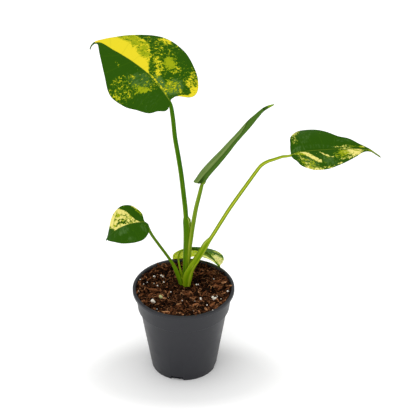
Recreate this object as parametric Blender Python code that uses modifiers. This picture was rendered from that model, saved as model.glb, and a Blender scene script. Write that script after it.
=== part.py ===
"""Young variegated monstera in its nursery pot, at real size (metres, +Z up).

The pot's axis is the frame the sizes below are written in, with z = 0 under the pot's foot.
At the end everything is shifted so that the origin lies under the middle of the plant's box.
"""
import math

import bmesh
import bpy
import numpy as np
from mathutils import Matrix, Vector, noise

MM = 0.001
CLEARANCE = 0.3 * MM
WELD = 0.01 * MM
ROUND_ANGLE = math.radians(40)

# Pot, moulded in one piece: folded lip, collar, shoulder, tapered body, raised drain plate, thick foot ring
POT_HEIGHT = 109 * MM
LIP_RADIUS = 60 * MM
LIP_DROP = 4 * MM
LIP_TOP = 1.3 * MM
LIP_ROUNDING = 0.7 * MM
LIP_INNER_SLOPE = (1.1 * MM, 1.6 * MM)
COLLAR_TOP_RADIUS = 57 * MM
COLLAR_LOW_RADIUS = 54.2 * MM
COLLAR_LOW = 82.8 * MM
SHOULDER_DROP = 1.2 * MM
BODY_TOP_RADIUS = 51.6 * MM
FOOT_RADIUS = 38.8 * MM
FOOT_WIDTH = 4.1 * MM
WALL = 1.2 * MM
PLATE_UNDERSIDE = 5.5 * MM
POT_STEPS = 48
NOTCH_WIDTH = 15 * MM
NOTCH_HEIGHT = 4.8 * MM
NOTCH_DEPTH = 2.9 * MM
NOTCH_COUNT = 4
FIRST_NOTCH_ANGLE = math.radians(-102)
DRAIN_RADIUS = 4 * MM
DRAIN_CIRCLE = 27 * MM
DRAIN_COUNT = 8
DRAIN_SIDES = 12

# Soil, a few millimetres under the rim in the middle and nearly level with it at the wall
SOIL_LEVEL = 104.3 * MM
SOIL_EDGE_LEVEL = 107.3 * MM
RISE_TO_WALL = (38 * MM, 53 * MM)
SOIL_RINGS = 8
SOIL_ROUGHNESS = 1.1 * MM
CRUMBS_PER_METRE = (110, 240)
LEVEL_AT_WALL = (44 * MM, 54 * MM)
LEVEL_AT_STEM = (7 * MM, 14 * MM)
STEM_PLACE = (1.6 * MM, 11.5 * MM)
MOUND_HEIGHT = 1.0 * MM
MOUND_RADIUS = 13 * MM
HOLLOW_PLACE = (15 * MM, 4 * MM)
HOLLOW_DEPTH = 3.0 * MM
HOLLOW_RADIUS = 7 * MM

# Leaf blades
BLADE_THICKNESS = 0.8 * MM
MIDRIB_THICKNESS = 2.4 * MM
BLADE_ROWS = 16
BLADE_COLUMNS = 12
MARGIN_WAVE = 1.0 * MM
MARGIN_WAVE_TURNS = 9
COLUMN_CROWDING = 1.25
CORNER_REACH = (0.06, 0.35)
MIDRIB_TAPER = 0.85
MIDRIB_SAMPLES = 120
# Half outline of a blade: part of its length, part of its half width
OUTLINE = ((-0.048, 0.362), (-0.02, 0.617), (0.073, 0.849), (0.185, 0.978), (0.372, 1.0),
           (0.573, 0.785), (0.743, 0.451), (0.85, 0.18), (0.9, 0.07), (1.0, 0.03))
# How much of the lobe's forward shift, of the shoulder's and of the fullness each outline point takes
LOBE_SHARE = (1, 1, 0.8, 0.4, 0, 0, 0, 0, 0, 0)
SHOULDER_SHARE = (0, 0.5, 1, 0.6, 0, 0, 0, 0, 0, 0)
FULL_SHARE = (0, 0, 0, 0, 0.3, 1, 1, 0.5, 0, 0)
# How much of the drip tip's length the last two outline points take
DRIP_SHARE = (0.35, 1)

# Each flat leaf: angles in degrees, widths from the midrib to the margin, sides as the leaf points,
# tip_start the share of its length where the tip starts to bend on its own
LEAVES = {
    "top": dict(
        base=(-13.3, 22, 347.3), length=136.8, drip=0.02, heading=127.6, pitch=24.8, droop=24.3,
        roll=-1.3, swing=16.2, tip_start=0.82, tip_curl=70, tip_swing=33.5,
        left=dict(width=51.1, fold=-3.4, curl=-27.5, lobe=0.013, full=-0.1, shoulder=-0.12, bulge=0.105),
        right=dict(width=55.6, fold=10.6, curl=-15.4, lobe=-0.012, full=0.34, shoulder=-0.05, bulge=-0.056)),
    "right": dict(
        base=(121.6, -10, 296.8), length=95.1, drip=0.147, heading=11.9, pitch=4.8, droop=14.6,
        roll=3.3, swing=-4.9, tip_start=0.82, tip_curl=31, tip_swing=14.3,
        left=dict(width=41.6, fold=23.6, curl=-38.9, lobe=0.075, full=-0.32, shoulder=0.03, bulge=-0.005),
        right=dict(width=36.3, fold=4.3, curl=-11.5, lobe=0.079, full=-0.04, shoulder=-0.01, bulge=0.017)),
    "left": dict(
        base=(-42.4, -25, 217.8), length=57.8, drip=-0.089, heading=193.7, pitch=5.5, droop=75.8,
        roll=-0.9, swing=-7.8, tip_start=0.9, tip_curl=-40, tip_swing=-2.8,
        left=dict(width=29, fold=-3.8, curl=-10.6, lobe=0.008, full=0.12, shoulder=0.06, bulge=0.075),
        right=dict(width=28.2, fold=-4.1, curl=34.3, lobe=0.041, full=0.08, shoulder=-0.026, bulge=-0.02)),
    "back": dict(
        base=(3.4, 48, 132.2), length=67, drip=0, heading=41, pitch=-23.9, droop=46.6,
        roll=-26.3, swing=-34.4, tip_start=0.82, tip_curl=20.8, tip_swing=1,
        left=dict(width=36.8, fold=-11, curl=-26.5, lobe=0, full=-0.3, shoulder=0, bulge=0.028),
        right=dict(width=35.9, fold=7.7, curl=-21.5, lobe=0, full=0, shoulder=0, bulge=0)),
}

# Young leaf, still rolled lengthwise: middle line, then radius and turns along it
ROLL_LINE = ((21.2, 5.2, 255.2), (27.1, 4, 265.4), (37.3, 2.1, 279.9), (47.2, 0.3, 293.9),
             (56.8, -1.5, 308.3), (66.7, -3.4, 322.4), (76.4, -5.4, 336.5), (86.3, -7.3, 350.2),
             (92.6, -8.5, 356.5), (100.6, -10, 361.3))
ROLL_RADIUS = ((0, 6.1), (0.11, 6.2), (0.22, 6.0), (0.33, 5.2), (0.44, 4.3), (0.48, 4.0), (0.63, 3.9),
               (0.67, 3.5), (0.71, 2.9), (0.75, 2.7), (0.78, 2.2), (0.89, 2.0), (0.94, 1.5), (1, 0.75))
ROLL_TURNS = ((0, 1.5), (0.15, 1.58), (0.55, 1.56), (0.62, 1.4), (0.67, 1.05), (0.73, 0.85), (0.85, 0.75),
              (1, 0.6))
# Lower edge of the roll, from the midrib to the free edge: how far each place hangs below the knuckle
ROLL_LOBE = ((0, 0), (0.14, 0.3), (0.3, 4.6), (0.68, 7.6), (0.85, 6.8), (1, 4.0))
ROLL_LOBE_REACH = 0.16
ROLL_THICKNESS = 0.7 * MM
ROLL_RIB_THICKNESS = 1.3 * MM
ROLL_TIGHTENING = 0.26
ROLL_MIDRIB_TURN = math.radians(280)
ROLL_FRONT = Vector((0, -0.84, 0.54))
ROLL_STEP = 0.01
ROLL_ROWS = 18
ROLL_COLUMNS = 22

# Stem and petioles: middle line in millimetres, then half width and half depth along it
STALK_SIDES = 10
STALK_GROOVE = 0.14
BLADE_SEAT = 0.8
PATH_SAMPLES = 400
KNUCKLE_SHARES = (0.35, 0.6, 0.8, 1)
STEM = dict(
    line=((1.2, 11.5, 78), (1.4, 11.5, 92), (1.6, 11.5, 104), (1.8, 11.7, 112)),
    section=((0, 3.6, 3.6), (0.3, 5.0, 5.0), (0.75, 6.0, 5.6), (1, 5.4, 5.2)),
    inner=(0, -1, 0), rings=8)
# Each petiole: knuckle is the length of its bent end, under is how far below the blade's face it ends
PETIOLES = {
    "top": dict(
        line=((2.2, 12.6, 107), (3.5, 12.8, 122), (4.2, 13.3, 145), (4.7, 13.9, 171), (4.4, 14.3, 187),
              (3.2, 14.7, 202.5), (2.3, 15.2, 214), (0.2, 16.3, 236), (-2.1, 17.3, 258), (-5.1, 18.3, 280),
              (-8.2, 19.3, 301), (-10, 20.3, 322.3), (-11.2, 20.8, 333)),
        section=((0, 4.0, 4.0), (0.08, 4.4, 4.6), (0.35, 4.1, 4.6), (0.37, 3.8, 4.2), (0.39, 3.0, 3.2),
                 (0.46, 2.9, 3.0), (0.6, 2.8, 2.9), (0.77, 2.7, 2.75), (0.95, 2.5, 2.6), (1, 2.2, 2.2)),
        inner=(1, -0.4, 0), rings=28, knuckle=3.0, under=3.0),
    "rolled": dict(
        line=((5.3, 11.5, 136), (7.2, 11, 156), (9, 10.6, 171.5), (10.5, 10.2, 184.5), (12.4, 9.6, 198),
              (15.1, 8.6, 215), (18.5, 7.2, 231.5), (22, 5.8, 248)),
        section=((0, 1.6, 1.6), (0.15, 2.5, 2.5), (0.5, 2.6, 2.8), (0.9, 2.4, 2.6), (0.97, 1.8, 1.9),
                 (1, 1.4, 1.4)),
        inner=(-1, 0.3, 0), rings=20, knuckle=1.5),
    "right": dict(
        line=((2.6, 9.6, 105), (4.7, 8.8, 120), (8.9, 8, 131.5), (15.1, 6.9, 142.7), (21, 5.8, 154.3),
              (28.4, 4.4, 169.8), (33.4, 3.6, 178.7), (43, 1.9, 198.2), (52.6, 0.5, 217.3),
              (62.7, -1.1, 235.8), (72.9, -2.7, 253.8), (83, -4.3, 271.6), (88.3, -5.1, 279.9),
              (95.2, -6.2, 285.7), (103, -7.4, 289.5), (111.2, -8.7, 293.5)),
        section=((0, 4.2, 4.6), (0.065, 4.6, 6.2), (0.12, 4.0, 5.0), (0.18, 3.4, 4.3), (0.28, 3.1, 4.2),
                 (0.31, 2.8, 3.3), (0.34, 2.5, 2.5), (0.62, 2.4, 2.4), (0.84, 2.1, 2.1), (0.96, 1.6, 1.6),
                 (1, 1.3, 1.3)),
        inner=(-0.6, 0, 0.8), rings=36, knuckle=4.0, under=0.7),
    "left": dict(
        line=((-0.8, 11, 106), (-5.3, 7.9, 117), (-8.3, 5.3, 128.8), (-12.3, 2.3, 141), (-19, -2.8, 156.5),
              (-26.4, -9.5, 173.6), (-33.7, -16.3, 190.8), (-36.9, -19.3, 199.4)),
        section=((0, 2.4, 2.4), (0.1, 2.7, 2.8), (0.22, 2.5, 2.6), (0.32, 2.1, 2.1), (0.38, 1.8, 1.8),
                 (0.9, 1.75, 1.8), (1, 1.6, 1.6)),
        inner=(0.8, 0.3, 0.5), rings=20, knuckle=2.0, under=2.6),
    "back": dict(
        line=((0.4, 12.8, 107), (-2.0, 14.5, 116), (-4.6, 20, 123.6), (-6.1, 28, 128.2), (-5.8, 34, 131.6),
              (-4.2, 38.5, 133.3)),
        section=((0, 1.7, 1.7), (0.12, 1.5, 1.5), (0.4, 1.1, 1.15), (0.9, 1.1, 1.15), (1, 1.3, 1.2)),
        inner=(0, 0.7, 0.7), rings=18, knuckle=3.0, under=1.3),
}

# Base colour, roughness
PLASTIC = ((0.045, 0.046, 0.052), 0.5)
EARTH = ((0.06, 0.028, 0.014), 0.95)
STEM_GREEN = ((0.16, 0.25, 0.03), 0.45)
PETIOLE_LIME = ((0.28, 0.42, 0.03), 0.4)
PETIOLE_GREEN = ((0.1, 0.24, 0.02), 0.4)
LEAF_DARK = ((0.03, 0.12, 0.015), 0.35)
LEAF_LIME = ((0.3, 0.4, 0.04), 0.35)
ROLL_GREEN = ((0.12, 0.22, 0.07), 0.4)


def clear_scene():
    for thing in list(bpy.data.objects):
        bpy.data.objects.remove(thing, do_unlink=True)


def make_collection(name):
    collection = bpy.data.collections.new(name)
    bpy.context.scene.collection.children.link(collection)
    return collection


def make_material(name, finish):
    colour, roughness = finish
    material = bpy.data.materials.new(name)
    material.use_nodes = True
    shader = material.node_tree.nodes["Principled BSDF"]
    shader.inputs["Base Color"].default_value = (*colour, 1)
    shader.inputs["Roughness"].default_value = roughness
    return material


def make_object(name, mesh, collection, root, finish=None):
    thing = bpy.data.objects.new(name, mesh)
    collection.objects.link(thing)
    thing.parent = root
    if finish:
        mesh.materials.append(make_material(name + "_finish", finish))
        mesh.shade_smooth()
        mesh.set_sharp_from_angle(angle=ROUND_ANGLE)
    else:
        thing.hide_render = True
        thing.display_type = "WIRE"
    return thing


def mesh_from(bm, name):
    mesh = bpy.data.meshes.new(name)
    bm.to_mesh(mesh)
    bm.free()
    return mesh


def cut(thing, cutter):
    modifier = thing.modifiers.new("cut_by_" + cutter.name, "BOOLEAN")
    modifier.operation = "DIFFERENCE"
    modifier.solver = "EXACT"
    if isinstance(cutter, bpy.types.Collection):
        modifier.operand_type = "COLLECTION"
        modifier.collection = cutter
    else:
        modifier.object = cutter


def ramp(pairs, at):
    places, values = zip(*pairs)
    return np.interp(at, places, values)


def smooth_step(low, high, value):
    t = np.clip((value - low) / (high - low), 0, 1)
    return t * t * (3 - 2 * t)


def through(points, at):
    """Points of a smooth curve through the given ones, at shares 0 to 1 of their count."""
    points = np.asarray(points, float)
    ends = np.vstack([2 * points[0] - points[1], points, 2 * points[-1] - points[-2]])
    place = np.clip(at, 0, 1) * (len(points) - 1)
    first = np.minimum(place.astype(int), len(points) - 2)
    t = (place - first)[..., None]
    a, b, c, d = (ends[first + k] for k in range(4))
    return 0.5 * (2 * b + (c - a) * t + (2 * a - 5 * b + 4 * c - d) * t**2 + (3 * b - a - 3 * c + d) * t**3)


# Pot

def body_radius(height):
    top = COLLAR_LOW - SHOULDER_DROP
    return FOOT_RADIUS + (BODY_TOP_RADIUS - FOOT_RADIUS) * height / top


def inner_wall():
    """Inside of the pot from the drain plate up to just under the lip, as (radius, height)."""
    plate_top = PLATE_UNDERSIDE + WALL
    return [
        (body_radius(plate_top) - WALL, plate_top),
        (BODY_TOP_RADIUS - WALL, COLLAR_LOW - SHOULDER_DROP),
        (COLLAR_LOW_RADIUS - WALL, COLLAR_LOW),
        (COLLAR_TOP_RADIUS - WALL, POT_HEIGHT - LIP_INNER_SLOPE[1]),
    ]


def pot_profile():
    under_lip = POT_HEIGHT - LIP_TOP
    lip_low = POT_HEIGHT - LIP_DROP
    inside = [(0, PLATE_UNDERSIDE + WALL)] + inner_wall()
    lip = [
        (COLLAR_TOP_RADIUS - WALL + LIP_INNER_SLOPE[0], POT_HEIGHT),
        (LIP_RADIUS - LIP_ROUNDING, POT_HEIGHT),
        (LIP_RADIUS, POT_HEIGHT - LIP_ROUNDING),
        (LIP_RADIUS, lip_low),
        (LIP_RADIUS - WALL, lip_low),
        (LIP_RADIUS - WALL, under_lip),
        (COLLAR_TOP_RADIUS, under_lip),
    ]
    outside = [
        (COLLAR_LOW_RADIUS, COLLAR_LOW),
        (BODY_TOP_RADIUS, COLLAR_LOW - SHOULDER_DROP),
        (FOOT_RADIUS, 0),
    ]
    foot = [
        (FOOT_RADIUS - FOOT_WIDTH, 0),
        (FOOT_RADIUS - FOOT_WIDTH, PLATE_UNDERSIDE),
        (0, PLATE_UNDERSIDE),
    ]
    return inside + lip + outside + foot


def turned_mesh(name, profile):
    mesh = bpy.data.meshes.new(name)
    edges = [(k, k + 1) for k in range(len(profile) - 1)]
    mesh.from_pydata([(radius, 0, height) for radius, height in profile], edges, [])
    return mesh


def add_screw(thing):
    screw = thing.modifiers.new("turn", "SCREW")
    screw.axis = "Z"
    screw.angle = math.tau
    screw.steps = POT_STEPS
    screw.render_steps = POT_STEPS
    screw.use_merge_vertices = True
    screw.merge_threshold = WELD
    screw.use_smooth_shade = True


def notch_cutter(angle):
    bm = bmesh.new()
    bmesh.ops.create_cube(bm, size=1)
    bmesh.ops.scale(bm, verts=bm.verts, vec=(2 * NOTCH_DEPTH, NOTCH_WIDTH, 2 * NOTCH_HEIGHT))
    bmesh.ops.translate(bm, verts=bm.verts, vec=(FOOT_RADIUS, 0, 0))
    bmesh.ops.rotate(bm, verts=bm.verts, matrix=Matrix.Rotation(angle, 3, "Z"))
    return mesh_from(bm, "foot_notch")


def drain_cutter(angle):
    bm = bmesh.new()
    bmesh.ops.create_cone(bm, cap_ends=True, segments=DRAIN_SIDES, radius1=DRAIN_RADIUS,
                          radius2=DRAIN_RADIUS, depth=6 * WALL)
    centre = (DRAIN_CIRCLE * math.cos(angle), DRAIN_CIRCLE * math.sin(angle), PLATE_UNDERSIDE + WALL / 2)
    bmesh.ops.translate(bm, verts=bm.verts, vec=centre)
    return mesh_from(bm, "drain_hole")


def build_pot(parts, root):
    pot = make_object("pot", turned_mesh("pot", pot_profile()), parts, root, PLASTIC)
    add_screw(pot)
    cutters = make_collection("pot_cutters")
    for k in range(NOTCH_COUNT):
        angle = FIRST_NOTCH_ANGLE + k * math.tau / NOTCH_COUNT
        make_object(f"foot_notch_{k}", notch_cutter(angle), cutters, root)
    for k in range(DRAIN_COUNT):
        angle = (k + 0.5) * math.tau / DRAIN_COUNT
        make_object(f"drain_hole_{k}", drain_cutter(angle), cutters, root)
    cut(pot, cutters)
    return pot


# Soil

def soil_relief(x, y):
    """Height of the surface over its level: crumbs, mound at the stem, hollow beside it, rise at the wall."""
    radius = math.hypot(x, y)
    from_stem = math.hypot(x - STEM_PLACE[0], y - STEM_PLACE[1])
    from_hollow = math.hypot(x - HOLLOW_PLACE[0], y - HOLLOW_PLACE[1])
    coarse, fine = (noise.noise(Vector((x, y, 0)) * rate) for rate in CRUMBS_PER_METRE)
    crumbs = coarse + 0.6 * fine
    mound = MOUND_HEIGHT * math.exp(-((from_stem / MOUND_RADIUS) ** 2))
    hollow = HOLLOW_DEPTH * math.exp(-((from_hollow / HOLLOW_RADIUS) ** 2))
    away_from_wall = 1 - float(smooth_step(*LEVEL_AT_WALL, radius))
    away_from_stem = float(smooth_step(*LEVEL_AT_STEM, from_stem))
    rise = (SOIL_EDGE_LEVEL - SOIL_LEVEL) * float(smooth_step(*RISE_TO_WALL, radius))
    return (SOIL_ROUGHNESS * crumbs * away_from_stem + mound - hollow) * away_from_wall + rise


def soil_profile():
    wall = [(radius - CLEARANCE, height) for radius, height in inner_wall()]
    low_radius, low_height = wall[0]
    up = (SOIL_EDGE_LEVEL - wall[2][1]) / (wall[3][1] - wall[2][1])
    edge_radius = wall[2][0] + (wall[3][0] - wall[2][0]) * up
    side = [(0, low_height + CLEARANCE), (low_radius, low_height + CLEARANCE), wall[1], wall[2]]
    top = [(edge_radius * (1 - k / SOIL_RINGS), SOIL_LEVEL) for k in range(SOIL_RINGS + 1)]
    return side + top


def build_soil(parts, root):
    bm = bmesh.new()
    line = [bm.verts.new((radius, 0, height)) for radius, height in soil_profile()]
    edges = [bm.edges.new(pair) for pair in zip(line, line[1:])]
    bmesh.ops.spin(bm, geom=line + edges, cent=(0, 0, 0), axis=(0, 0, 1), angle=math.tau,
                   steps=POT_STEPS, use_merge=True)
    bmesh.ops.remove_doubles(bm, verts=bm.verts, dist=WELD)
    for vert in bm.verts:
        if vert.co.z > SOIL_LEVEL - CLEARANCE:
            vert.co.z += soil_relief(vert.co.x, vert.co.y)
    bmesh.ops.triangulate(bm, faces=bm.faces)
    bmesh.ops.recalc_face_normals(bm, faces=bm.faces)
    return make_object("soil", mesh_from(bm, "soil"), parts, root, EARTH)


# Stem and petioles

def stalk_mesh(name, stalk, grow=0.0):
    """Oval stalk lofted along its middle line, with a shallow channel on its inner side."""
    fine = through(stalk["line"], np.linspace(0, 1, PATH_SAMPLES))
    steps = np.linalg.norm(np.diff(fine, axis=0), axis=1)
    run = np.concatenate([[0], np.cumsum(steps)])
    share = np.linspace(0, 1, stalk["rings"])
    centres = np.stack([np.interp(share * run[-1], run, fine[:, k]) for k in range(3)], -1)
    tangents = np.gradient(centres, axis=0)
    places, widths, depths = zip(*stalk["section"])
    inner = Vector(stalk["inner"])
    rings = []
    for k, centre in enumerate(centres):
        along = Vector(tangents[k]).normalized()
        across = along.cross(inner).normalized()
        towards = across.cross(along)
        half_width = np.interp(share[k], places, widths) + grow
        half_depth = np.interp(share[k], places, depths) + grow
        shift = grow * (-1 if k == 0 else 1 if k == len(centres) - 1 else 0)
        ring = []
        for side in range(STALK_SIDES):
            turn = math.tau * (side + 0.5) / STALK_SIDES
            channel = 1 - STALK_GROOVE * max(0.0, math.sin(turn)) ** 3 * (0 if grow else 1)
            place = Vector(centre) + along * shift
            place += across * (half_width * math.cos(turn))
            place += towards * (half_depth * math.sin(turn) * channel)
            ring.append(place * MM)
        rings.append(ring)
    return lofted_mesh(name, rings)


def lofted_mesh(name, rings):
    bm = bmesh.new()
    loops = [[bm.verts.new(place) for place in ring] for ring in rings]
    sides = len(loops[0])
    for low, high in zip(loops, loops[1:]):
        for k in range(sides):
            after = (k + 1) % sides
            bm.faces.new((low[k], low[after], high[after], high[k]))
    bm.faces.new(loops[0][::-1])
    bm.faces.new(loops[-1])
    bmesh.ops.triangulate(bm, faces=bm.faces)
    bmesh.ops.recalc_face_normals(bm, faces=bm.faces)
    return mesh_from(bm, name)


def leaf_axes(leaf):
    """Direction of the midrib where it starts, and the upward side of the blade there."""
    heading = math.radians(leaf["heading"])
    pitch = math.radians(leaf["pitch"])
    roll = math.radians(leaf["roll"])
    run = math.cos(pitch)
    along = Vector((run * math.cos(heading), run * math.sin(heading), math.sin(pitch)))
    level = Vector((-math.sin(heading), math.cos(heading), 0))
    side = level * math.cos(roll) + along.cross(level) * math.sin(roll)
    return along, along.cross(side)


def petiole_end(name):
    """Middle of the petiole's upper end, at the start of the midrib, with its direction there."""
    if name == "rolled":
        low, high = (Vector(place) for place in roll_places(np.array([0, 0.02]), np.array([0.5, 0.5])))
        return low / MM, (high - low).normalized()
    along, upward = leaf_axes(LEAVES[name])
    return Vector(LEAVES[name]["base"]) - upward * PETIOLES[name]["under"], along


def joined_line(name):
    """The petiole's line with the bent knuckle that brings it square to the start of the midrib."""
    petiole = PETIOLES[name]
    end, along = petiole_end(name)
    end -= along * BLADE_SEAT
    corner = end - along * petiole["knuckle"]
    start = Vector(petiole["line"][-1])
    bend = [start * (1 - t) ** 2 + corner * 2 * t * (1 - t) + end * t * t for t in KNUCKLE_SHARES]
    return petiole["line"] + tuple(tuple(place) for place in bend)


def build_stalks(parts, cutters, root):
    stem = make_object("stem", stalk_mesh("stem", STEM), parts, root, STEM_GREEN)
    stem_space = make_object("stem_space", stalk_mesh("stem_space", STEM, CLEARANCE / MM), cutters, root)
    spaces = {"stem": stem_space}
    stalks = {}
    for name in ("top", "rolled", "right", "left", "back"):
        petiole = dict(PETIOLES[name], line=joined_line(name))
        finish = PETIOLE_GREEN if name in ("top", "left") else PETIOLE_LIME
        node = "petiole_" + name
        stalks[name] = make_object(node, stalk_mesh(node, petiole), parts, root, finish)
        for space in spaces.values():
            if name != "rolled":
                cut(stalks[name], space)
        space_mesh = stalk_mesh(node + "_space", petiole, CLEARANCE / MM)
        space = make_object(node + "_space", space_mesh, cutters, root)
        if name == "rolled":
            cut(stalks["top"], space)
        spaces[name] = space
    return [stem, *stalks.values()], spaces


# Blades

def outline_of(side, drip):
    shape = np.array(OUTLINE)
    shape[:, 0] += side["lobe"] * np.array(LOBE_SHARE)
    shape[:, 1] *= 1 + side["full"] * np.array(FULL_SHARE) + side["shoulder"] * np.array(SHOULDER_SHARE)
    shape[-2:, 0] += drip * np.array(DRIP_SHARE)
    return shape


def flat_blade(side, drip, along, out):
    """Place on the flat half blade: along runs base to tip, out from midrib to margin."""
    margin = through(outline_of(side, drip), along)
    rib = along**1.15 + drip * along**8
    lean = 0.35 * np.clip(along / 0.06, 0, 1)
    bulge = side["bulge"] * np.clip(1 - along / 0.12, 0, 1) ** 2
    bend_x = rib + (margin[..., 0] - rib) * lean - bulge
    bend_y = 0.55 * margin[..., 1]
    x = rib * (1 - out) ** 2 + 2 * bend_x * out * (1 - out) + margin[..., 0] * out**2
    y = 2 * bend_y * out * (1 - out) + margin[..., 1] * out**2
    return x, y


def midrib_frames(leaf):
    """Middle line of a drooping blade with its direction, side and upward vectors."""
    whole = 1 + leaf["drip"]
    share = np.linspace(0, whole, MIDRIB_SAMPLES)
    end = np.clip((share - leaf["tip_start"]) / (1 - leaf["tip_start"]), 0, 1) ** 1.5
    droop = leaf["droop"] * np.minimum(share, 1) ** 1.3
    pitch = np.radians(leaf["pitch"] - droop - leaf["tip_curl"] * end)
    yaw = np.radians(leaf["heading"] + leaf["swing"] * share + leaf["tip_swing"] * end)
    roll = math.radians(leaf["roll"])
    along = np.stack([np.cos(pitch) * np.cos(yaw), np.cos(pitch) * np.sin(yaw), np.sin(pitch)], -1)
    level = np.stack([-np.sin(yaw), np.cos(yaw), 0 * yaw], -1)
    side = level * math.cos(roll) + np.cross(along, level) * math.sin(roll)
    moves = (along[1:] + along[:-1]) / 2 * leaf["length"] * whole / (MIDRIB_SAMPLES - 1)
    centre = np.array(leaf["base"]) + np.vstack([np.zeros(3), np.cumsum(moves, axis=0)])
    return share * leaf["length"], centre, along, side, np.cross(along, side)


def ease_corner(along, out):
    """Rounds off the corner where a lobe's lower edge meets its outer margin."""
    low = np.clip(1 - along / CORNER_REACH[0], 0, 1)
    far = np.clip(1 - (1 - np.abs(out)) / CORNER_REACH[1], 0, 1)
    eased_along = along + CORNER_REACH[0] * low * (1 - np.sqrt(1 - far**2 / 2))
    eased_out = np.abs(out) - CORNER_REACH[1] * far * (1 - np.sqrt(1 - low**2 / 2))
    return eased_along, np.sign(out) * eased_out


def blade_places(leaf, along, out):
    """Points of the upper face, for along in 0 to 1 and out in -1 (right margin) to 1 (left margin)."""
    along, out = ease_corner(along, out)
    places, centre, ahead, aside, upward = midrib_frames(leaf)
    result = np.zeros(along.shape + (3,))
    for sign, side in ((1, leaf["left"]), (-1, leaf["right"])):
        x, y = flat_blade(side, leaf["drip"], along, np.abs(out))
        x = x * leaf["length"]
        y = y * side["width"]
        fold = math.radians(side["fold"])
        rate = math.radians(side["curl"]) / side["width"]
        level = (np.sin(fold + rate * y) - math.sin(fold)) / rate
        ripple = np.sin(MARGIN_WAVE_TURNS * along + 2 * sign) * np.sin(math.pi * along)
        wave = MARGIN_WAVE / MM * np.abs(out) ** 3 * ripple
        rise = (math.cos(fold) - np.cos(fold + rate * y)) / rate + wave

        def at(field):
            return np.stack([np.interp(np.clip(x, 0, None), places, field[:, k]) for k in range(3)], -1)

        spot = at(centre) + np.minimum(x, 0)[..., None] * at(ahead)
        spot += sign * level[..., None] * at(aside) + rise[..., None] * at(upward)
        result = np.where((sign * out >= 0)[..., None], spot, result)
    return result * MM


def sheet_mesh(name, rows, columns, place):
    """Grid of triangles whose (row, column) shares are mapped by place; returns it with its shares."""
    bm = bmesh.new()
    bmesh.ops.create_grid(bm, x_segments=rows, y_segments=columns, size=0.5)
    bmesh.ops.triangulate(bm, faces=bm.faces)
    shares = np.array([(vert.co.x + 0.5, vert.co.y + 0.5) for vert in bm.verts])
    for vert, spot in zip(bm.verts, place(shares[:, 0], shares[:, 1])):
        vert.co = spot
    return mesh_from(bm, name), shares


def column_spread(share):
    """Columns crowd towards the midrib, where the blade is thick."""
    out = 2 * share - 1
    return np.sign(out) * np.abs(out) ** COLUMN_CROWDING


def thicken(thing, shares, columns, thin, thick, offset):
    """Give a sheet its thickness, with a midrib that stands out less and less towards the tip."""
    midrib = thing.vertex_groups.new(name="midrib")
    for index, (along, across) in enumerate(shares):
        if abs(across - 0.5) < 0.5 / columns:
            midrib.add([index], 1 - MIDRIB_TAPER * along, "REPLACE")
    solid = thing.modifiers.new("thickness", "SOLIDIFY")
    solid.thickness = thick
    solid.offset = offset
    solid.vertex_group = midrib.name
    solid.thickness_vertex_group = thin / thick


def build_blade(name, leaf, finish, parts, root):
    node = "blade_" + name
    mesh, shares = sheet_mesh(
        node, BLADE_ROWS, BLADE_COLUMNS,
        lambda along, across: blade_places(leaf, along, column_spread(across)))
    blade = make_object(node, mesh, parts, root, finish)
    thicken(blade, shares, BLADE_COLUMNS, BLADE_THICKNESS, MIDRIB_THICKNESS, -1)
    return blade


def roll_places(along, across):
    """Points of the rolled leaf: a sheet wound round a middle line, with its midrib on the right."""
    line = through(ROLL_LINE, along)
    before = np.maximum(along - ROLL_STEP, 0)
    after = np.minimum(along + ROLL_STEP, 1)
    ahead = through(ROLL_LINE, after) - through(ROLL_LINE, before)
    ahead /= np.linalg.norm(ahead, axis=-1, keepdims=True)
    front = np.array(ROLL_FRONT) - ahead * (ahead @ np.array(ROLL_FRONT))[..., None]
    front /= np.linalg.norm(front, axis=-1, keepdims=True)
    left = np.cross(front, ahead)
    turns = ramp(ROLL_TURNS, along)
    wound = turns * (1 - across)
    radius = ramp(ROLL_RADIUS, along) * (1 - ROLL_TIGHTENING * wound)
    turn = ROLL_MIDRIB_TURN + math.tau * (wound - turns / 2)
    lobe = (1 - smooth_step(0, ROLL_LOBE_REACH, along)) * ramp(ROLL_LOBE, np.abs(2 * across - 1))
    spot = line + radius[..., None] * (front * np.cos(turn)[..., None] + left * np.sin(turn)[..., None])
    return (spot - ahead * lobe[..., None]) * MM


def build_rolled_blade(parts, root):
    mesh, shares = sheet_mesh("blade_rolled", ROLL_ROWS, ROLL_COLUMNS, roll_places)
    blade = make_object("blade_rolled", mesh, parts, root, ROLL_GREEN)
    thicken(blade, shares, ROLL_COLUMNS, ROLL_THICKNESS, ROLL_RIB_THICKNESS, 0)
    return blade


# Frame

def box_of(things):
    depsgraph = bpy.context.evaluated_depsgraph_get()
    corners = []
    for thing in things:
        shown = thing.evaluated_get(depsgraph)
        mesh = shown.to_mesh()
        corners += [shown.matrix_world @ vert.co for vert in mesh.vertices]
        shown.to_mesh_clear()
    places = np.array(corners)
    return places.min(axis=0), places.max(axis=0)


def main():
    clear_scene()
    parts = make_collection("potted_monstera")
    cutters = make_collection("cutters")
    root = bpy.data.objects.new("plant_origin", None)
    parts.objects.link(root)

    pot = build_pot(parts, root)
    soil = build_soil(parts, root)
    stalks, spaces = build_stalks(parts, cutters, root)
    for name in ("stem", "right"):
        cut(soil, spaces[name])
    blades = [build_blade(name, leaf, LEAF_LIME if name == "back" else LEAF_DARK, parts, root)
              for name, leaf in LEAVES.items()]
    rolled = build_rolled_blade(parts, root)

    low, high = box_of([pot, soil, rolled, *stalks, *blades])
    root.location = (-(low[0] + high[0]) / 2, -(low[1] + high[1]) / 2, -low[2])
    bpy.context.view_layer.update()


main()
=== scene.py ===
"""Young variegated monstera in its nursery pot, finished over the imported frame."""
import math

import bmesh
import bpy
import numpy as np
from mathutils import Euler, Matrix, Vector, noise


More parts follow.
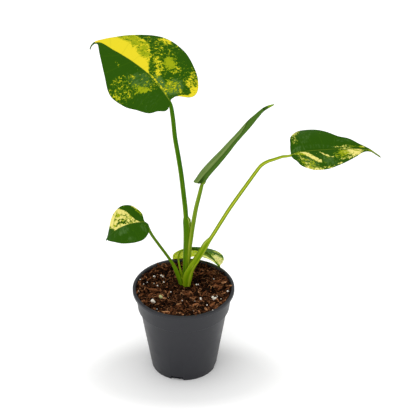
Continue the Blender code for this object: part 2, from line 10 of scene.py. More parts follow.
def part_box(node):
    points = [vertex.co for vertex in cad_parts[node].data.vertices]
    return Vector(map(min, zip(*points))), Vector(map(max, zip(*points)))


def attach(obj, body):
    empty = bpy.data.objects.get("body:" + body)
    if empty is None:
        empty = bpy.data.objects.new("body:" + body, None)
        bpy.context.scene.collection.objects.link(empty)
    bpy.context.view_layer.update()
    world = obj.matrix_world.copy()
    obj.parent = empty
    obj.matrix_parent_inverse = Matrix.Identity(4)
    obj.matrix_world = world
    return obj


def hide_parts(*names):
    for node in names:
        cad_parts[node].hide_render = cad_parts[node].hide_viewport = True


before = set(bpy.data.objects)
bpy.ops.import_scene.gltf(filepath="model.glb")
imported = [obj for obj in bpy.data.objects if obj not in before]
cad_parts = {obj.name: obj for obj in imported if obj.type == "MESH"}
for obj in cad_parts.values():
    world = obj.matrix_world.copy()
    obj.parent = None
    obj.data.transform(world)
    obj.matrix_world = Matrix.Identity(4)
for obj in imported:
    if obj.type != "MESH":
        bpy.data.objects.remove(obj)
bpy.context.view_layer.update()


# Studio
# A plain white sweep under one broad soft light from above, as for a shop photograph.
# The sweep also glows, as painted light, but for an oval patch under the pot and in front of it that stays
# darker as a painted shadow.
# The camera stands to the front and 33 degrees above, with a long lens.
MM = 0.001
pot_low, pot_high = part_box("pot")
POT_AXIS = Vector(((pot_low.x + pot_high.x) / 2, (pot_low.y + pot_high.y) / 2, 0))
CAMERA_PLACE = Vector((28.8, -1662.8, 1296.15)) * MM
CAMERA_PITCH = math.radians(32.916)
CAMERA_LENS = 150
CAMERA_SENSOR = 36
CAMERA_RANGE = 100
SWEEP_SIZE = 60
SWEEP_WHITE = (0.97, 0.97, 0.97, 1)
PURE_WHITE = (1, 1, 1, 1)
SWEEP_PAINTED_GLOW = 0.26
GLOW_STARTS = 43 * MM
GLOW_IS_FULL = 84 * MM
SHADOW_PATCH_SQUEEZE = Vector((0.5, 1, 1))
SHADOW_PATCH_MIDDLE = (POT_AXIS + Vector((0, -30 * MM, 0))) * SHADOW_PATCH_SQUEEZE
PANEL_PLACE = Vector((-0.25, -0.35, 3.2))
PANEL_AIM = Vector((0, 0, 0.1))
PANEL_SIZE = 2.4
PANEL_WATTS = 29
ROOM_GLOW = 0.84


def add(tree, kind, *inputs, **settings):
    """New shader node: inputs in order, then inputs (with _ for a space) or properties by name."""
    made = tree.nodes.new("ShaderNode" + kind)
    named = {key.replace("_", " "): value for key, value in settings.items()}
    slots = [(made.inputs[place], value) for place, value in enumerate(inputs)]
    slots += [(made.inputs[key], value) for key, value in named.items() if key in made.inputs]
    for key, value in settings.items():
        if key.replace("_", " ") not in made.inputs:
            setattr(made, key, value)
    for socket, value in slots:
        if isinstance(value, bpy.types.NodeSocket):
            tree.links.new(value, socket)
        elif value is not None:
            socket.default_value = value
    return made


def mapped(tree, value, low, high, to_low=0.0, to_high=1.0, **settings):
    """The value, with its run from low to high turned into a run from to_low to to_high."""
    node = add(tree, "MapRange", Value=value, From_Min=low, From_Max=high, To_Min=to_low, To_Max=to_high,
               **settings)
    return node.outputs["Result"]


def finish(name, **sockets):
    """New material with its Principled shader's own sockets set; returns it with its tree."""
    material = bpy.data.materials.new(name)
    material.use_nodes = True
    shader = material.node_tree.nodes["Principled BSDF"]
    for key, value in sockets.items():
        shader.inputs[key.replace("_", " ")].default_value = value
    return material, material.node_tree


def wire(tree, **sockets):
    """Links outputs to the Principled shader's sockets of those names."""
    for key, output in sockets.items():
        tree.links.new(output, tree.nodes["Principled BSDF"].inputs[key.replace("_", " ")])


def shown(name, mesh, *materials):
    """Puts a mesh in the scene as an object at the origin."""
    thing = bpy.data.objects.new(name, mesh)
    bpy.context.scene.collection.objects.link(thing)
    for material in materials:
        mesh.materials.append(material)
    return thing


def mesh_from(bm, name):
    mesh = bpy.data.meshes.new(name)
    bm.to_mesh(mesh)
    bm.free()
    return mesh


bm = bmesh.new()
bmesh.ops.create_grid(bm, x_segments=1, y_segments=1, size=SWEEP_SIZE / 2)
white_paper, tree = finish("white_paper", Base_Color=SWEEP_WHITE, Roughness=0.9, Specular_IOR_Level=0.0,
                           Emission_Color=PURE_WHITE)
# The sweep's painted glow rises away from the pot and leaves a patch of painted shadow round it.
where = add(tree, "TexCoord").outputs["Object"]
squeezed = add(tree, "VectorMath", where, SHADOW_PATCH_SQUEEZE, operation="MULTIPLY").outputs["Vector"]
away = add(tree, "VectorMath", squeezed, SHADOW_PATCH_MIDDLE, operation="DISTANCE").outputs["Value"]
glow = mapped(tree, away, GLOW_STARTS, GLOW_IS_FULL, 0, SWEEP_PAINTED_GLOW, interpolation_type="SMOOTHSTEP")
wire(tree, Emission_Strength=glow)
sweep = shown("sweep", mesh_from(bm, "sweep"), white_paper)

camera = bpy.data.objects.new("camera", bpy.data.cameras.new("camera"))
bpy.context.scene.collection.objects.link(camera)
camera.data.lens = CAMERA_LENS
camera.data.sensor_width = CAMERA_SENSOR
camera.data.clip_end = CAMERA_RANGE
camera.location = POT_AXIS + CAMERA_PLACE
camera.rotation_euler = (math.pi / 2 - CAMERA_PITCH, 0, 0)
bpy.context.scene.camera = camera
bpy.context.scene.view_settings.view_transform = "Standard"

lamp = bpy.data.lights.new("top_panel", "AREA")
lamp.shape = "SQUARE"
lamp.size = PANEL_SIZE
lamp.energy = PANEL_WATTS
panel = bpy.data.objects.new("top_panel", lamp)
bpy.context.scene.collection.objects.link(panel)
panel.location = POT_AXIS + PANEL_PLACE
panel.rotation_euler = (PANEL_AIM - PANEL_PLACE).to_track_quat("-Z", "Y").to_euler()

# The camera sees the room pure white, and its light on the plant is a little dimmer
room = bpy.data.worlds.new("room")
room.use_nodes = True
bpy.context.scene.world = room
tree = room.node_tree
background = tree.nodes["Background"]
background.inputs["Color"].default_value = PURE_WHITE
seen = add(tree, "LightPath").outputs["Is Camera Ray"]
tree.links.new(mapped(tree, seen, 0, 1, ROOM_GLOW, 1), background.inputs["Strength"])


# Pot
# A round tapered nursery pot, injection moulded in one piece from dark grey polypropylene.
# It has a folded lip, a collar, a small shoulder, a raised drain plate and a thick, notched foot ring.
# The mould polishes its outside. Inside the foot and its notches the sheen is turned down, as painted shade.
POT_HEIGHT = 109
LIP_RADIUS = 60
LIP_DROP = 4
LIP_THICKNESS = 1.3
COLLAR_TOP_RADIUS = 57
COLLAR_LOW_RADIUS = 54.2
COLLAR_LOW = 82.8
SHOULDER_DROP = 1.2
BODY_TOP_RADIUS = 51.6
FOOT_RADIUS = 38.8
FOOT_WIDTH = 4.1
WALL = 1.2
PLATE_UNDERSIDE = 5.5
POT_STEPS = 192
NOTCH = Vector((5.8, 15, 9.6))
NOTCH_ANGLES = [math.radians(-102 + 90 * k) for k in range(4)]
DRAIN_RADIUS = 4
DRAIN_CIRCLE = 27
DRAIN_ANGLES = [math.radians(22.5 + 45 * k) for k in range(8)]
POT_GREY = (0.0055, 0.006, 0.0108, 1)
POT_SCUFF = (0.0105, 0.0111, 0.0156, 1)
POT_SHEEN = 0.42
RECESS_SHADE_SHEEN = 0.03
SHADED_RECESS_BELOW = 5.2 * MM
SHADED_RECESS_WITHIN = (FOOT_RADIUS - 0.4) * MM
# How far the mouth's inner edge is eased, outwards and down
MOUTH_EASE = (1.1, 1.6)
NOISE_RANGE = (0.3, 0.7)


def worked(tree, operation, *values, **settings):
    """Number that a Math node works out."""
    return add(tree, "Math", *values, operation=operation, **settings).outputs["Value"]


def blend(tree, share, first, second):
    """Colour that goes from the first to the second with the share."""
    return add(tree, "MixRGB", share, first, second).outputs["Color"]


def speckle(tree, place, scale, detail, roughness=0.5, distortion=0.0):
    """Noise over the places, finer with a larger scale."""
    return add(tree, "TexNoise", Vector=place, Scale=scale, Detail=detail, Roughness=roughness,
               Distortion=distortion).outputs["Fac"]


def varied(tree, field, low, high):
    """Number that follows a noise from low to high, over the range that most of a noise lies in."""
    return mapped(tree, field, *NOISE_RANGE, low, high)


def bumped(tree, height, strength, depth):
    """Slight unevenness that follows a noise, its depth in millimetres."""
    return add(tree, "Bump", Strength=strength, Distance=depth * MM, Height=height).outputs["Normal"]


def rounded(corners, steps=4):
    """Profile whose corners (radius, height, rounding) are eased over the rounding's length."""
    points = []
    neighbours = zip(corners[:1] + corners, corners, corners[1:] + corners[-1:])
    for before, (radius, height, ease), after in neighbours:
        corner = Vector((radius, 0, height))
        back = (Vector((before[0], 0, before[1])) - corner).normalized() * ease
        ahead = (Vector((after[0], 0, after[1])) - corner).normalized() * ease
        shares = [k / steps for k in range(steps + 1)] if ease else [0]
        points += [corner + back * (1 - t) ** 2 + ahead * t ** 2 for t in shares]
    return points


def turned(profile, steps):
    """Surface turned round the pot's axis from a profile in millimetres, with its poles closed."""
    bm = bmesh.new()
    line = [bm.verts.new(point) for point in profile]
    edges = [bm.edges.new(pair) for pair in zip(line, line[1:])]
    bmesh.ops.spin(bm, geom=line + edges, cent=(0, 0, 0), axis=(0, 0, 1), angle=math.tau,
                   steps=steps, use_merge=True)
    bmesh.ops.remove_doubles(bm, verts=bm.verts, dist=0.005)
    bmesh.ops.recalc_face_normals(bm, faces=bm.faces)
    return bm


def settle(bm, name):
    """Ends a mesh that was shaped in millimetres round the pot's axis: scales it and puts it in place."""
    bmesh.ops.scale(bm, verts=bm.verts, vec=(MM, MM, MM))
    bmesh.ops.translate(bm, verts=bm.verts, vec=POT_AXIS)
    return mesh_from(bm, name)


def cut_from(mesh, cutter):
    """The mesh with the cutter's volume taken out."""
    body = shown("uncut", mesh)
    tool = shown("cutter", cutter)
    boolean = body.modifiers.new("cut", "BOOLEAN")
    boolean.operation = "DIFFERENCE"
    boolean.solver = "EXACT"
    boolean.object = tool
    depsgraph = bpy.context.evaluated_depsgraph_get()
    result = bpy.data.meshes.new_from_object(body.evaluated_get(depsgraph))
    bpy.data.objects.remove(body)
    bpy.data.objects.remove(tool)
    return result


shoulder_top = COLLAR_LOW - SHOULDER_DROP
taper = (BODY_TOP_RADIUS - FOOT_RADIUS) / shoulder_top
plate_top = PLATE_UNDERSIDE + WALL
under_lip = POT_HEIGHT - LIP_THICKNESS
# Corners of its profile, from the plate's middle round the lip and back: radius, height, rounding
pot_corners = [
    (0, plate_top, 0),
    (FOOT_RADIUS + taper * plate_top - WALL, plate_top, 1.0),
    (BODY_TOP_RADIUS - WALL, shoulder_top, 0.8),
    (COLLAR_LOW_RADIUS - WALL, COLLAR_LOW, 0.5),
    (COLLAR_TOP_RADIUS - WALL, POT_HEIGHT - MOUTH_EASE[1], 0.6),
    (COLLAR_TOP_RADIUS - WALL + MOUTH_EASE[0], POT_HEIGHT, 0.4),
    (LIP_RADIUS, POT_HEIGHT, 0.9),
    (LIP_RADIUS, POT_HEIGHT - LIP_DROP, 0.5),
    (LIP_RADIUS - WALL, POT_HEIGHT - LIP_DROP, 0.4),
    (LIP_RADIUS - WALL, under_lip, 0.5),
    (COLLAR_TOP_RADIUS, under_lip, 0.5),
    (COLLAR_LOW_RADIUS, COLLAR_LOW, 0.7),
    (BODY_TOP_RADIUS, shoulder_top, 0.6),
    (FOOT_RADIUS, 0, 0.5),
    (FOOT_RADIUS - FOOT_WIDTH, 0, 0.4),
    (FOOT_RADIUS - FOOT_WIDTH, PLATE_UNDERSIDE, 0.8),
    (0, PLATE_UNDERSIDE, 0),
]
pot_mesh = settle(turned(rounded(pot_corners), POT_STEPS), "nursery_pot")

bm = bmesh.new()
for angle in NOTCH_ANGLES:
    stand = Matrix.Rotation(angle, 4, "Z") @ Matrix.Translation((FOOT_RADIUS, 0, 0))
    bmesh.ops.create_cube(bm, size=1, matrix=stand @ Matrix.Diagonal((*NOTCH, 1)))
for angle in DRAIN_ANGLES:
    stand = Matrix.Rotation(angle, 4, "Z") @ Matrix.Translation((DRAIN_CIRCLE, 0, PLATE_UNDERSIDE))
    bmesh.ops.create_cone(bm, cap_ends=True, segments=32, radius1=DRAIN_RADIUS, radius2=DRAIN_RADIUS,
                          depth=6 * WALL, matrix=stand)
pot_mesh = cut_from(pot_mesh, settle(bm, "pot_openings"))
pot_mesh.shade_smooth()
pot_mesh.set_sharp_from_angle(angle=math.radians(35))

pot_plastic, tree = finish("pot_plastic")
where = add(tree, "TexCoord").outputs["Object"]
# Inside the foot and its notches the sheen is turned down, a painted shade for the recess.
low = worked(tree, "LESS_THAN", add(tree, "SeparateXYZ", where).outputs["Z"], SHADED_RECESS_BELOW)
level = add(tree, "VectorMath", where, (1, 1, 0), operation="MULTIPLY").outputs["Vector"]
reach = add(tree, "VectorMath", level, POT_AXIS, operation="DISTANCE").outputs["Value"]
recess_shade = worked(tree, "MULTIPLY", low, worked(tree, "LESS_THAN", reach, SHADED_RECESS_WITHIN))
smudge = speckle(tree, where, 38, 4, 0.6)
grain = speckle(tree, where, 1400, 2)
wire(tree, Base_Color=blend(tree, mapped(tree, smudge, 0.42, 0.72), POT_GREY, POT_SCUFF),
     Specular_IOR_Level=mapped(tree, recess_shade, 0, 1, POT_SHEEN, RECESS_SHADE_SHEEN),
     Roughness=varied(tree, smudge, 0.4, 0.52), Normal=bumped(tree, grain, 0.06, 0.4))

pot = shown("nursery_pot", pot_mesh, pot_plastic)
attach(pot, "root")
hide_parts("pot")


# Soil
# Moist potting mix pressed in by hand to just under the rim: dark peat with coir fibres, bark
# splinters and grains of white perlite, with a hollow left beside the stem.
SOIL_LEVEL = 104.3
SOIL_EDGE_LEVEL = 107.3
RISE_TO_WALL = (38, 53)
BED_BELOW = 2.2
SOIL_RINGS = 64
SOIL_STEPS = 160
SOIL_GAP = 0.3
SOIL_EDGE_GAP = 0.5
# Noises of its surface: cycles in a millimetre, strength
SOIL_NOISES = ((0.11, 1), (0.26, 0.7), (0.7, 0.45))
CRUMB_HEIGHT = 1.1
CALM_AT_WALL = (46, 54)
MOUND_PLACE = Vector((1.6, 11.5, 0))
MOUND_REACH = 13
HOLLOW_PLACE = Vector((15, 18, 0))
HOLLOW_REACH = 8
HOLLOW_DEPTH = 4.0
# The bed's darkest colour is the peat's own dark, deepened to near black as painted shade for the gaps
# between the pieces
SOIL_DARK_AND_GAP_SHADE = (0.0025, 0.0013, 0.001, 1)
SOIL_BROWN = (0.016, 0.006, 0.003, 1)
CHIP_TONES = ((0.0, (0.004, 0.0016, 0.0008, 1)), (0.35, (0.025, 0.0085, 0.003, 1)),
              (0.62, (0.1, 0.033, 0.011, 1)), (0.85, (0.28, 0.105, 0.04, 1)), (1.0, (0.52, 0.26, 0.12, 1)))
draw = np.random.default_rng(11)


def soil_height(x, y):
    """Height of the soil in millimetres: crumbs, a mound at the stem, a hollow beside it, a raised edge."""
    here = Vector((x, y, 0))
    crumbs = sum(strength * noise.noise(here * cycles) for cycles, strength in SOIL_NOISES)
    mound = math.exp(-((here - MOUND_PLACE).length / MOUND_REACH) ** 2)
    hollow = HOLLOW_DEPTH * math.exp(-((here - HOLLOW_PLACE).length / HOLLOW_REACH) ** 2)
    calm_from, calm_to = CALM_AT_WALL
    inward = min(1, max(0, (calm_to - here.length) / (calm_to - calm_from)))
    rise_from, rise_to = RISE_TO_WALL
    rise = min(1, max(0, (here.length - rise_from) / (rise_to - rise_from)))
    rise = (SOIL_EDGE_LEVEL - SOIL_LEVEL) * rise * rise * (3 - 2 * rise)
    return SOIL_LEVEL + (CRUMB_HEIGHT * crumbs + mound - hollow) * inward + rise


def kept(tree, name, output="Fac"):
    """What the mesh keeps under that name, as its number or its vector."""
    return add(tree, "Attribute", attribute_name=name).outputs[output]


def toned(name, stops, rough):
    """Matt finish whose colour runs through the stops by the piece's own tone, mottled by a noise."""
    material, tree = finish(name, Roughness=rough, Specular_IOR_Level=0.05)
    tone = kept(tree, "tone")
    mottle = speckle(tree, add(tree, "TexCoord").outputs["Object"], 700, 4, 0.65)
    mixed = worked(tree, "ADD", tone, mapped(tree, mottle, 0.25, 0.75, -0.22, 0.22), use_clamp=True)
    colours = add(tree, "ValToRGB", mixed)
    elements = colours.color_ramp.elements
    while len(elements) < len(stops):
        elements.new(0.5)
    for element, (place, colour) in zip(elements, stops):
        element.position = place
        element.color = colour
    wire(tree, Base_Color=colours.outputs["Color"], Normal=bumped(tree, mottle, 0.5, 0.4))
    return material


inner_low = FOOT_RADIUS + taper * plate_top - WALL - SOIL_GAP
soil_profile = [Vector((0, 0, plate_top + SOIL_GAP)), Vector((inner_low, 0, plate_top + SOIL_GAP)),
                Vector((BODY_TOP_RADIUS - WALL - SOIL_GAP, 0, shoulder_top)),
                Vector((COLLAR_LOW_RADIUS - WALL - SOIL_GAP, 0, COLLAR_LOW + 0.5))]
soil_edge = COLLAR_TOP_RADIUS - WALL - SOIL_EDGE_GAP
soil_profile += [Vector((soil_edge * (1 - k / SOIL_RINGS), 0, SOIL_LEVEL)) for k in range(SOIL_RINGS + 1)]
bm = turned(soil_profile, SOIL_STEPS)
for vert in bm.verts:
    if vert.co.z > SOIL_LEVEL - 0.5:
        vert.co.z = soil_height(vert.co.x, vert.co.y) - BED_BELOW
soil_mesh = settle(bm, "soil_bed")
soil_mesh.shade_smooth()

peat, tree = finish("peat", Roughness=0.95, Specular_IOR_Level=0.03)
crumb = speckle(tree, add(tree, "TexCoord").outputs["Object"], 420, 6, 0.7)
wire(tree, Base_Color=blend(tree, mapped(tree, crumb, 0.4, 0.7), SOIL_DARK_AND_GAP_SHADE, SOIL_BROWN),
     Normal=bumped(tree, crumb, 0.9, 0.8))
soil = shown("soil_bed", soil_mesh, peat)
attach(soil, "root")
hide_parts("soil")


# Splinters, crumbs and fibres
# Loose bark splinters, coir crumbs and coir fibres that lie on and in the top of the soil.
# Each is a rough broken solid of its own tone, and they overlap at random.
SPLINTER_COUNT = 1900
CRUMB_COUNT = 1300
EDGE_COUNT = 420
FIBRE_COUNT = 520
CLEAR_OF_STEM = 6.5
# Pieces down in the hollow beside the stem are darkened, a painted shade
HOLLOW_PAINTED_SHADE = 0.7
HOLLOW_SHADE_REACH = 10
# How far from the pot's axis they lie
SPLINTER_REACH = 54.5
CRUMB_REACH = 55
FIBRE_REACH = 53
EDGE_RING = (51.5, 55)
EDGE_ARC = (-math.pi - 0.35, 0.35)
# Splinters: mean and spread of the length's logarithm, then width and height as shares of the length
SPLINTER_LENGTH = (1.5, 0.42)
SPLINTER_WIDTH = (0.13, 0.32)
SPLINTER_HEIGHT = (0.1, 0.22)
SPLINTER_TILT = 0.45
CRUMB_SIZE = (0.7, 2.1)
EDGE_SIZE = (1.4, 3.2)
EDGE_SHAPES = ((0.9, 0.4, 0.3), (1.3, 0.8, 0.6))
FIBRE_LENGTH = (4, 14)
FIBRE_THICKNESS = (0.16, 0.34)
FIBRE_BEND = (0.28, 0.8)
FIBRE_TILT = 0.14
# How high their middles lie over the soil
SPLINTER_LIE = (-1.1, 1.1)
EDGE_LIE = (-0.2, 1.0)
CRUMB_LIE = (-1.2, 0.6)
FIBRE_LIE = (0.5, 1.3)
# How light they are, as the two numbers of a beta distribution
SPLINTER_TONE = (0.75, 1.1)
EDGE_TONE = (1.2, 1.6)
CRUMB_TONE = (1.3, 1.9)
# Larger pieces that stand out: place, length, width, height, heading in degrees, tone
LARGE_PIECES = (
    (14.5, -8.0, 9.0, 3.6, 2.4, 74, 0.12), (27.5, -1.0, 11.0, 4.6, 2.6, 8, 0.05),
    (2.5, -19, 9.5, 3.6, 2.2, 15, 0.15), (-35.5, -12, 9.0, 2.6, 1.6, 32, 0.72),
    (8.0, -5, 7.5, 1.8, 1.4, -50, 0.85), (-20, 29, 9.0, 1.4, 1.0, 48, 0.8),
    (31, 31, 13.0, 3.0, 1.8, -4, 0.55), (38, 16, 9.0, 3.2, 2.0, -35, 0.6),
    (-31, 10, 8.0, 3.4, 2.0, 70, 0.35), (-16, 5, 9.0, 4.4, 2.4, -20, 0.3),
    (20, -22, 8.0, 2.4, 1.4, 60, 0.62), (-6, -33, 8.5, 3.0, 1.8, -12, 0.6),
    (43, 2, 8.0, 3.4, 1.6, 55, 0.66), (-14, -24, 9.0, 3.6, 2.0, 25, 0.4),
)
PIECES_IN_BATCH = 50


def drawn(low, high):
    """One number drawn from low to high."""
    return float(draw.uniform(low, high))


def scattered(count, reach):
    """Random places on the soil within reach of the pot's axis, clear of the stem."""
    while count:
        x, y = draw.uniform(-reach, reach, 2)
        if math.hypot(x, y) < reach and math.hypot(x - MOUND_PLACE.x, y - MOUND_PLACE.y) > CLEAR_OF_STEM:
            count -= 1
            yield float(x), float(y)


def lying(x, y, lie, heading, tilt, size):
    """Matrix that lays a unit shape of that size on the soil, tilted, its middle lie millimetres over it."""
    place = Matrix.Translation((x, y, soil_height(x, y) + lie))
    turn = Euler((tilt[0], tilt[1], heading)).to_matrix().to_4x4()
    return place @ turn @ Matrix.Diagonal((*size, 1))


def gathered(pieces, shape):
    """One bmesh of many small solids: shape(bm, piece) makes each, and each keeps its own tone."""
    whole = bmesh.new()
    whole.verts.layers.float.new("tone")
    batch = None
    for k, (tone, piece) in enumerate(pieces):
        if batch is None:
            batch = bmesh.new()
            layer = batch.verts.layers.float.new("tone")
        for vert in shape(batch, piece):
            vert[layer] = tone
        if (k + 1) % PIECES_IN_BATCH == 0 or k == len(pieces) - 1:
            part = mesh_from(batch, "part")
            whole.from_mesh(part)
            bpy.data.meshes.remove(part)
            batch = None
    return whole


def jitter(verts, matrix, amount):
    """Roughens unit-sized points at random, then puts them in place."""
    for vert in verts:
        rough = draw.uniform(-amount, amount, 3)
        vert.co = matrix @ Vector([value * (1 + change) for value, change in zip(vert.co, rough)])


def cut_long(bm, made, cuts):
    """Cuts the long edges of a new rod, which runs along Z, and returns all its points."""
    older = len(bm.verts) - len(made)
    long_edges = {edge for vert in made for edge in vert.link_edges
                  if abs(edge.verts[0].co.z - edge.verts[1].co.z) > 0.5}
    bmesh.ops.subdivide_edges(bm, edges=list(long_edges), cuts=cuts, use_grid_fill=True)
    return list(bm.verts)[older:]


def splinter(bm, matrix):
    verts = cut_long(bm, bmesh.ops.create_cube(bm, size=1)["verts"], 2)
    bend = draw.uniform(-0.5, 0.5)
    for vert in verts:
        narrowing = 1 - 1.3 * abs(vert.co.z) ** 1.5
        vert.co.y = vert.co.y * narrowing + bend * (vert.co.z ** 2 - 0.1)
        vert.co.x *= narrowing
    jitter(verts, matrix @ Matrix.Rotation(math.pi / 2, 4, "Y"), 0.35)
    return verts


def crumb_of_coir(bm, matrix):
    verts = bmesh.ops.create_icosphere(bm, subdivisions=1, radius=0.5)["verts"]
    jitter(verts, matrix, 0.45)
    return verts


def fibre(bm, piece):
    """Thin three-sided strand bent to an arc: where it lies, its size, and how far its middle stands off."""
    stand, length, thick, rise, sway = piece
    made = bmesh.ops.create_cone(bm, cap_ends=True, segments=3, radius1=0.5, radius2=0.35, depth=1)["verts"]
    verts = cut_long(bm, made, 5)
    for vert in verts:
        arch = 0.25 - vert.co.z ** 2
        across = vert.co.x * thick + sway * arch
        up = vert.co.y * thick + rise * arch
        vert.co = stand @ Vector((vert.co.z * length, across, up))
    return verts


def painted_light_share(x, y):
    """How light the pieces are painted: those down in the hollow are darkened, a painted shade."""
    away = (Vector((x, y, 0)) - HOLLOW_PLACE).length
    return 1 - HOLLOW_PAINTED_SHADE * math.exp(-(away / HOLLOW_SHADE_REACH) ** 2)


splinters = []
for x, y in scattered(SPLINTER_COUNT, SPLINTER_REACH):
    length = float(draw.lognormal(*SPLINTER_LENGTH))
    size = (length, length * drawn(*SPLINTER_WIDTH), length * drawn(*SPLINTER_HEIGHT))
    tilt = draw.normal(0, SPLINTER_TILT, 2)
    tone = float(draw.beta(*SPLINTER_TONE)) * painted_light_share(x, y)
    splinters.append((tone, lying(x, y, drawn(*SPLINTER_LIE), drawn(0, math.tau), tilt, size)))
for _ in range(EDGE_COUNT):
    angle = drawn(*EDGE_ARC)
    reach = drawn(*EDGE_RING)
    x, y = reach * math.cos(angle), reach * math.sin(angle)
    size = drawn(*EDGE_SIZE) * draw.uniform(*EDGE_SHAPES)
    tone = float(draw.beta(*EDGE_TONE))
    splinters.append((tone, lying(x, y, drawn(*EDGE_LIE), angle + math.pi / 2, (0.1, 0.1), size)))
for x, y, length, width, height, heading, tone in LARGE_PIECES:
    place = lying(x, y, height * 0.4, math.radians(heading), (0.1, -0.06), (length, width, height))
    splinters.append((tone, place))
crumbs = []
for x, y in scattered(CRUMB_COUNT, CRUMB_REACH):
    size = drawn(*CRUMB_SIZE) * draw.uniform(0.6, 1.1, 3)
    tone = float(draw.beta(*CRUMB_TONE)) * painted_light_share(x, y)
    crumbs.append((tone, lying(x, y, drawn(*CRUMB_LIE), drawn(0, math.tau), (0, 0), size)))
fibres = []
for x, y in scattered(FIBRE_COUNT, FIBRE_REACH):
    length = drawn(*FIBRE_LENGTH)
    thick = drawn(*FIBRE_THICKNESS)
    lie = drawn(*FIBRE_LIE)
    heading = drawn(0, math.tau)
    stand = lying(x, y, lie, heading, (0, float(draw.normal(0, FIBRE_TILT))), (1, 1, 1))
    rise, sway = draw.uniform(-1, 1, 2) * length * FIBRE_BEND
    fibres.append((drawn(0.45, 1.0), (stand, length, thick, abs(rise), sway)))

bark = toned("bark", CHIP_TONES, 0.85)
for name, pieces, shape in (("bark_splinters", splinters, splinter), ("coir_crumbs", crumbs, crumb_of_coir),
                            ("coir_fibres", fibres, fibre)):
    bm = gathered(pieces, shape)
    bmesh.ops.recalc_face_normals(bm, faces=bm.faces)
    loose = shown(name, settle(bm, name), bark)
    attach(loose, "root")


# Perlite
# White puffed volcanic glass, sieved to 1 to 4 mm, and one greenish grain among it.
# Grains are crushed lumps that lie half sunk in the soil.
HIDDEN_GRAINS = 4
HIDDEN_SIZE = (0.6, 1.3)
HIDDEN_REACH = 52
GREEN_GRAIN = (-26.6, -16.6, 4.4)
# Grains that show: place, then size in millimetres
GRAINS = (
    (-35.3, 24.1, 2.6), (-27.1, 27.8, 2.4), (-24.8, 25.8, 2.0), (-23.6, 14.6, 1.6), (-51.5, 15.8, 1.3),
    (-43.0, 12.6, 1.5), (-35.1, 10.9, 1.3), (-30.9, 7.5, 2.0), (-47.2, 8.0, 1.1), (-52.0, -8.0, 1.7),
    (-14.9, -5.6, 1.6), (-35.9, -26.4, 3.8), (-33.9, -28.2, 2.6), (-29.9, -43.2, 1.2), (15.0, 12.0, 1.9),
    (17.5, 12.2, 1.7), (35.8, 20.5, 1.4), (51.9, -8.2, 2.0), (34.5, -16.4, 2.8), (37.2, -19.0, 2.6),
    (35.3, -20.3, 2.0), (20.0, -18.2, 2.1), (20.4, -21.0, 1.7), (13.5, -24.6, 1.3), (27.9, -33.0, 1.8),
    (44.0, -22.8, 1.3), (-1.4, -23.3, 1.2), (34.3, -46.0, 1.4), (39.7, -15.4, 1.5),
)
GRAIN_SHAPES = (0.95, 1.3)
GRAIN_TONE = (0.25, 0.95)
PERLITE_TONES = ((0.0, (0.5, 0.43, 0.33, 1)), (0.5, (0.85, 0.79, 0.68, 1)), (1.0, (0.97, 0.95, 0.9, 1)))
GREENISH = ((0.0, (0.4, 0.4, 0.13, 1)), (1.0, (0.74, 0.72, 0.4, 1)))


def grain_of_perlite(bm, matrix):
    verts = bmesh.ops.create_icosphere(bm, subdivisions=2, radius=0.5)["verts"]
    seed = Vector(draw.uniform(0, 50, 3))
    for vert in verts:
        vert.co *= 1 + 0.55 * noise.noise(vert.co * 3.2 + seed) + 0.2 * noise.noise(vert.co * 8 + seed)
        vert.co = matrix @ vert.co
    return verts


def grain_piece(x, y, size):
    shape = [float(value) for value in size * draw.uniform(*GRAIN_SHAPES, 3)]
    tone = drawn(*GRAIN_TONE)
    return tone, lying(x, y, size * 0.3 + 0.9, drawn(0, math.tau), (0, 0), shape)


grains = [grain_piece(x, y, size) for x, y, size in GRAINS]
grains += [grain_piece(x, y, drawn(*HIDDEN_SIZE)) for x, y in scattered(HIDDEN_GRAINS, HIDDEN_REACH)]
green = [grain_piece(*GREEN_GRAIN)]
for name, pieces, tones in (("perlite_grains", grains, PERLITE_TONES), ("green_grain", green, GREENISH)):
    mesh = settle(gathered(pieces, grain_of_perlite), name)
    mesh.shade_smooth()
    loose = shown(name, mesh, toned(name + "_skin", tones, 0.8))
    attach(loose, "root")


# Stem and petioles
# One short green stem, hidden by the sheaths of five petioles that wrap it and each other.
# Each petiole is a fleshy stalk, channelled on its inner side, with papery edges on its sheath.
PATH_SAMPLES = 400
STALK_SIDES = 32
WING_WIDTH = math.radians(9)
# The sheath's edges are faint, and papery only near its upper end, from this far before it
PAPERY_FROM = (-0.07, -0.02)
FAINT_EDGE = 0.2
STEM = dict(
    line=((1.2, 11.5, 78), (1.4, 11.5, 92), (1.6, 11.5, 104), (1.8, 11.7, 114)),
    section=((0, 3.6, 3.6), (0.3, 5.0, 5.0), (0.75, 6.0, 5.6), (1, 4.4, 4.2)),
    inner=(0, -1, 0), rings=30, wing=((0, 0),), channel=((0, 0),))
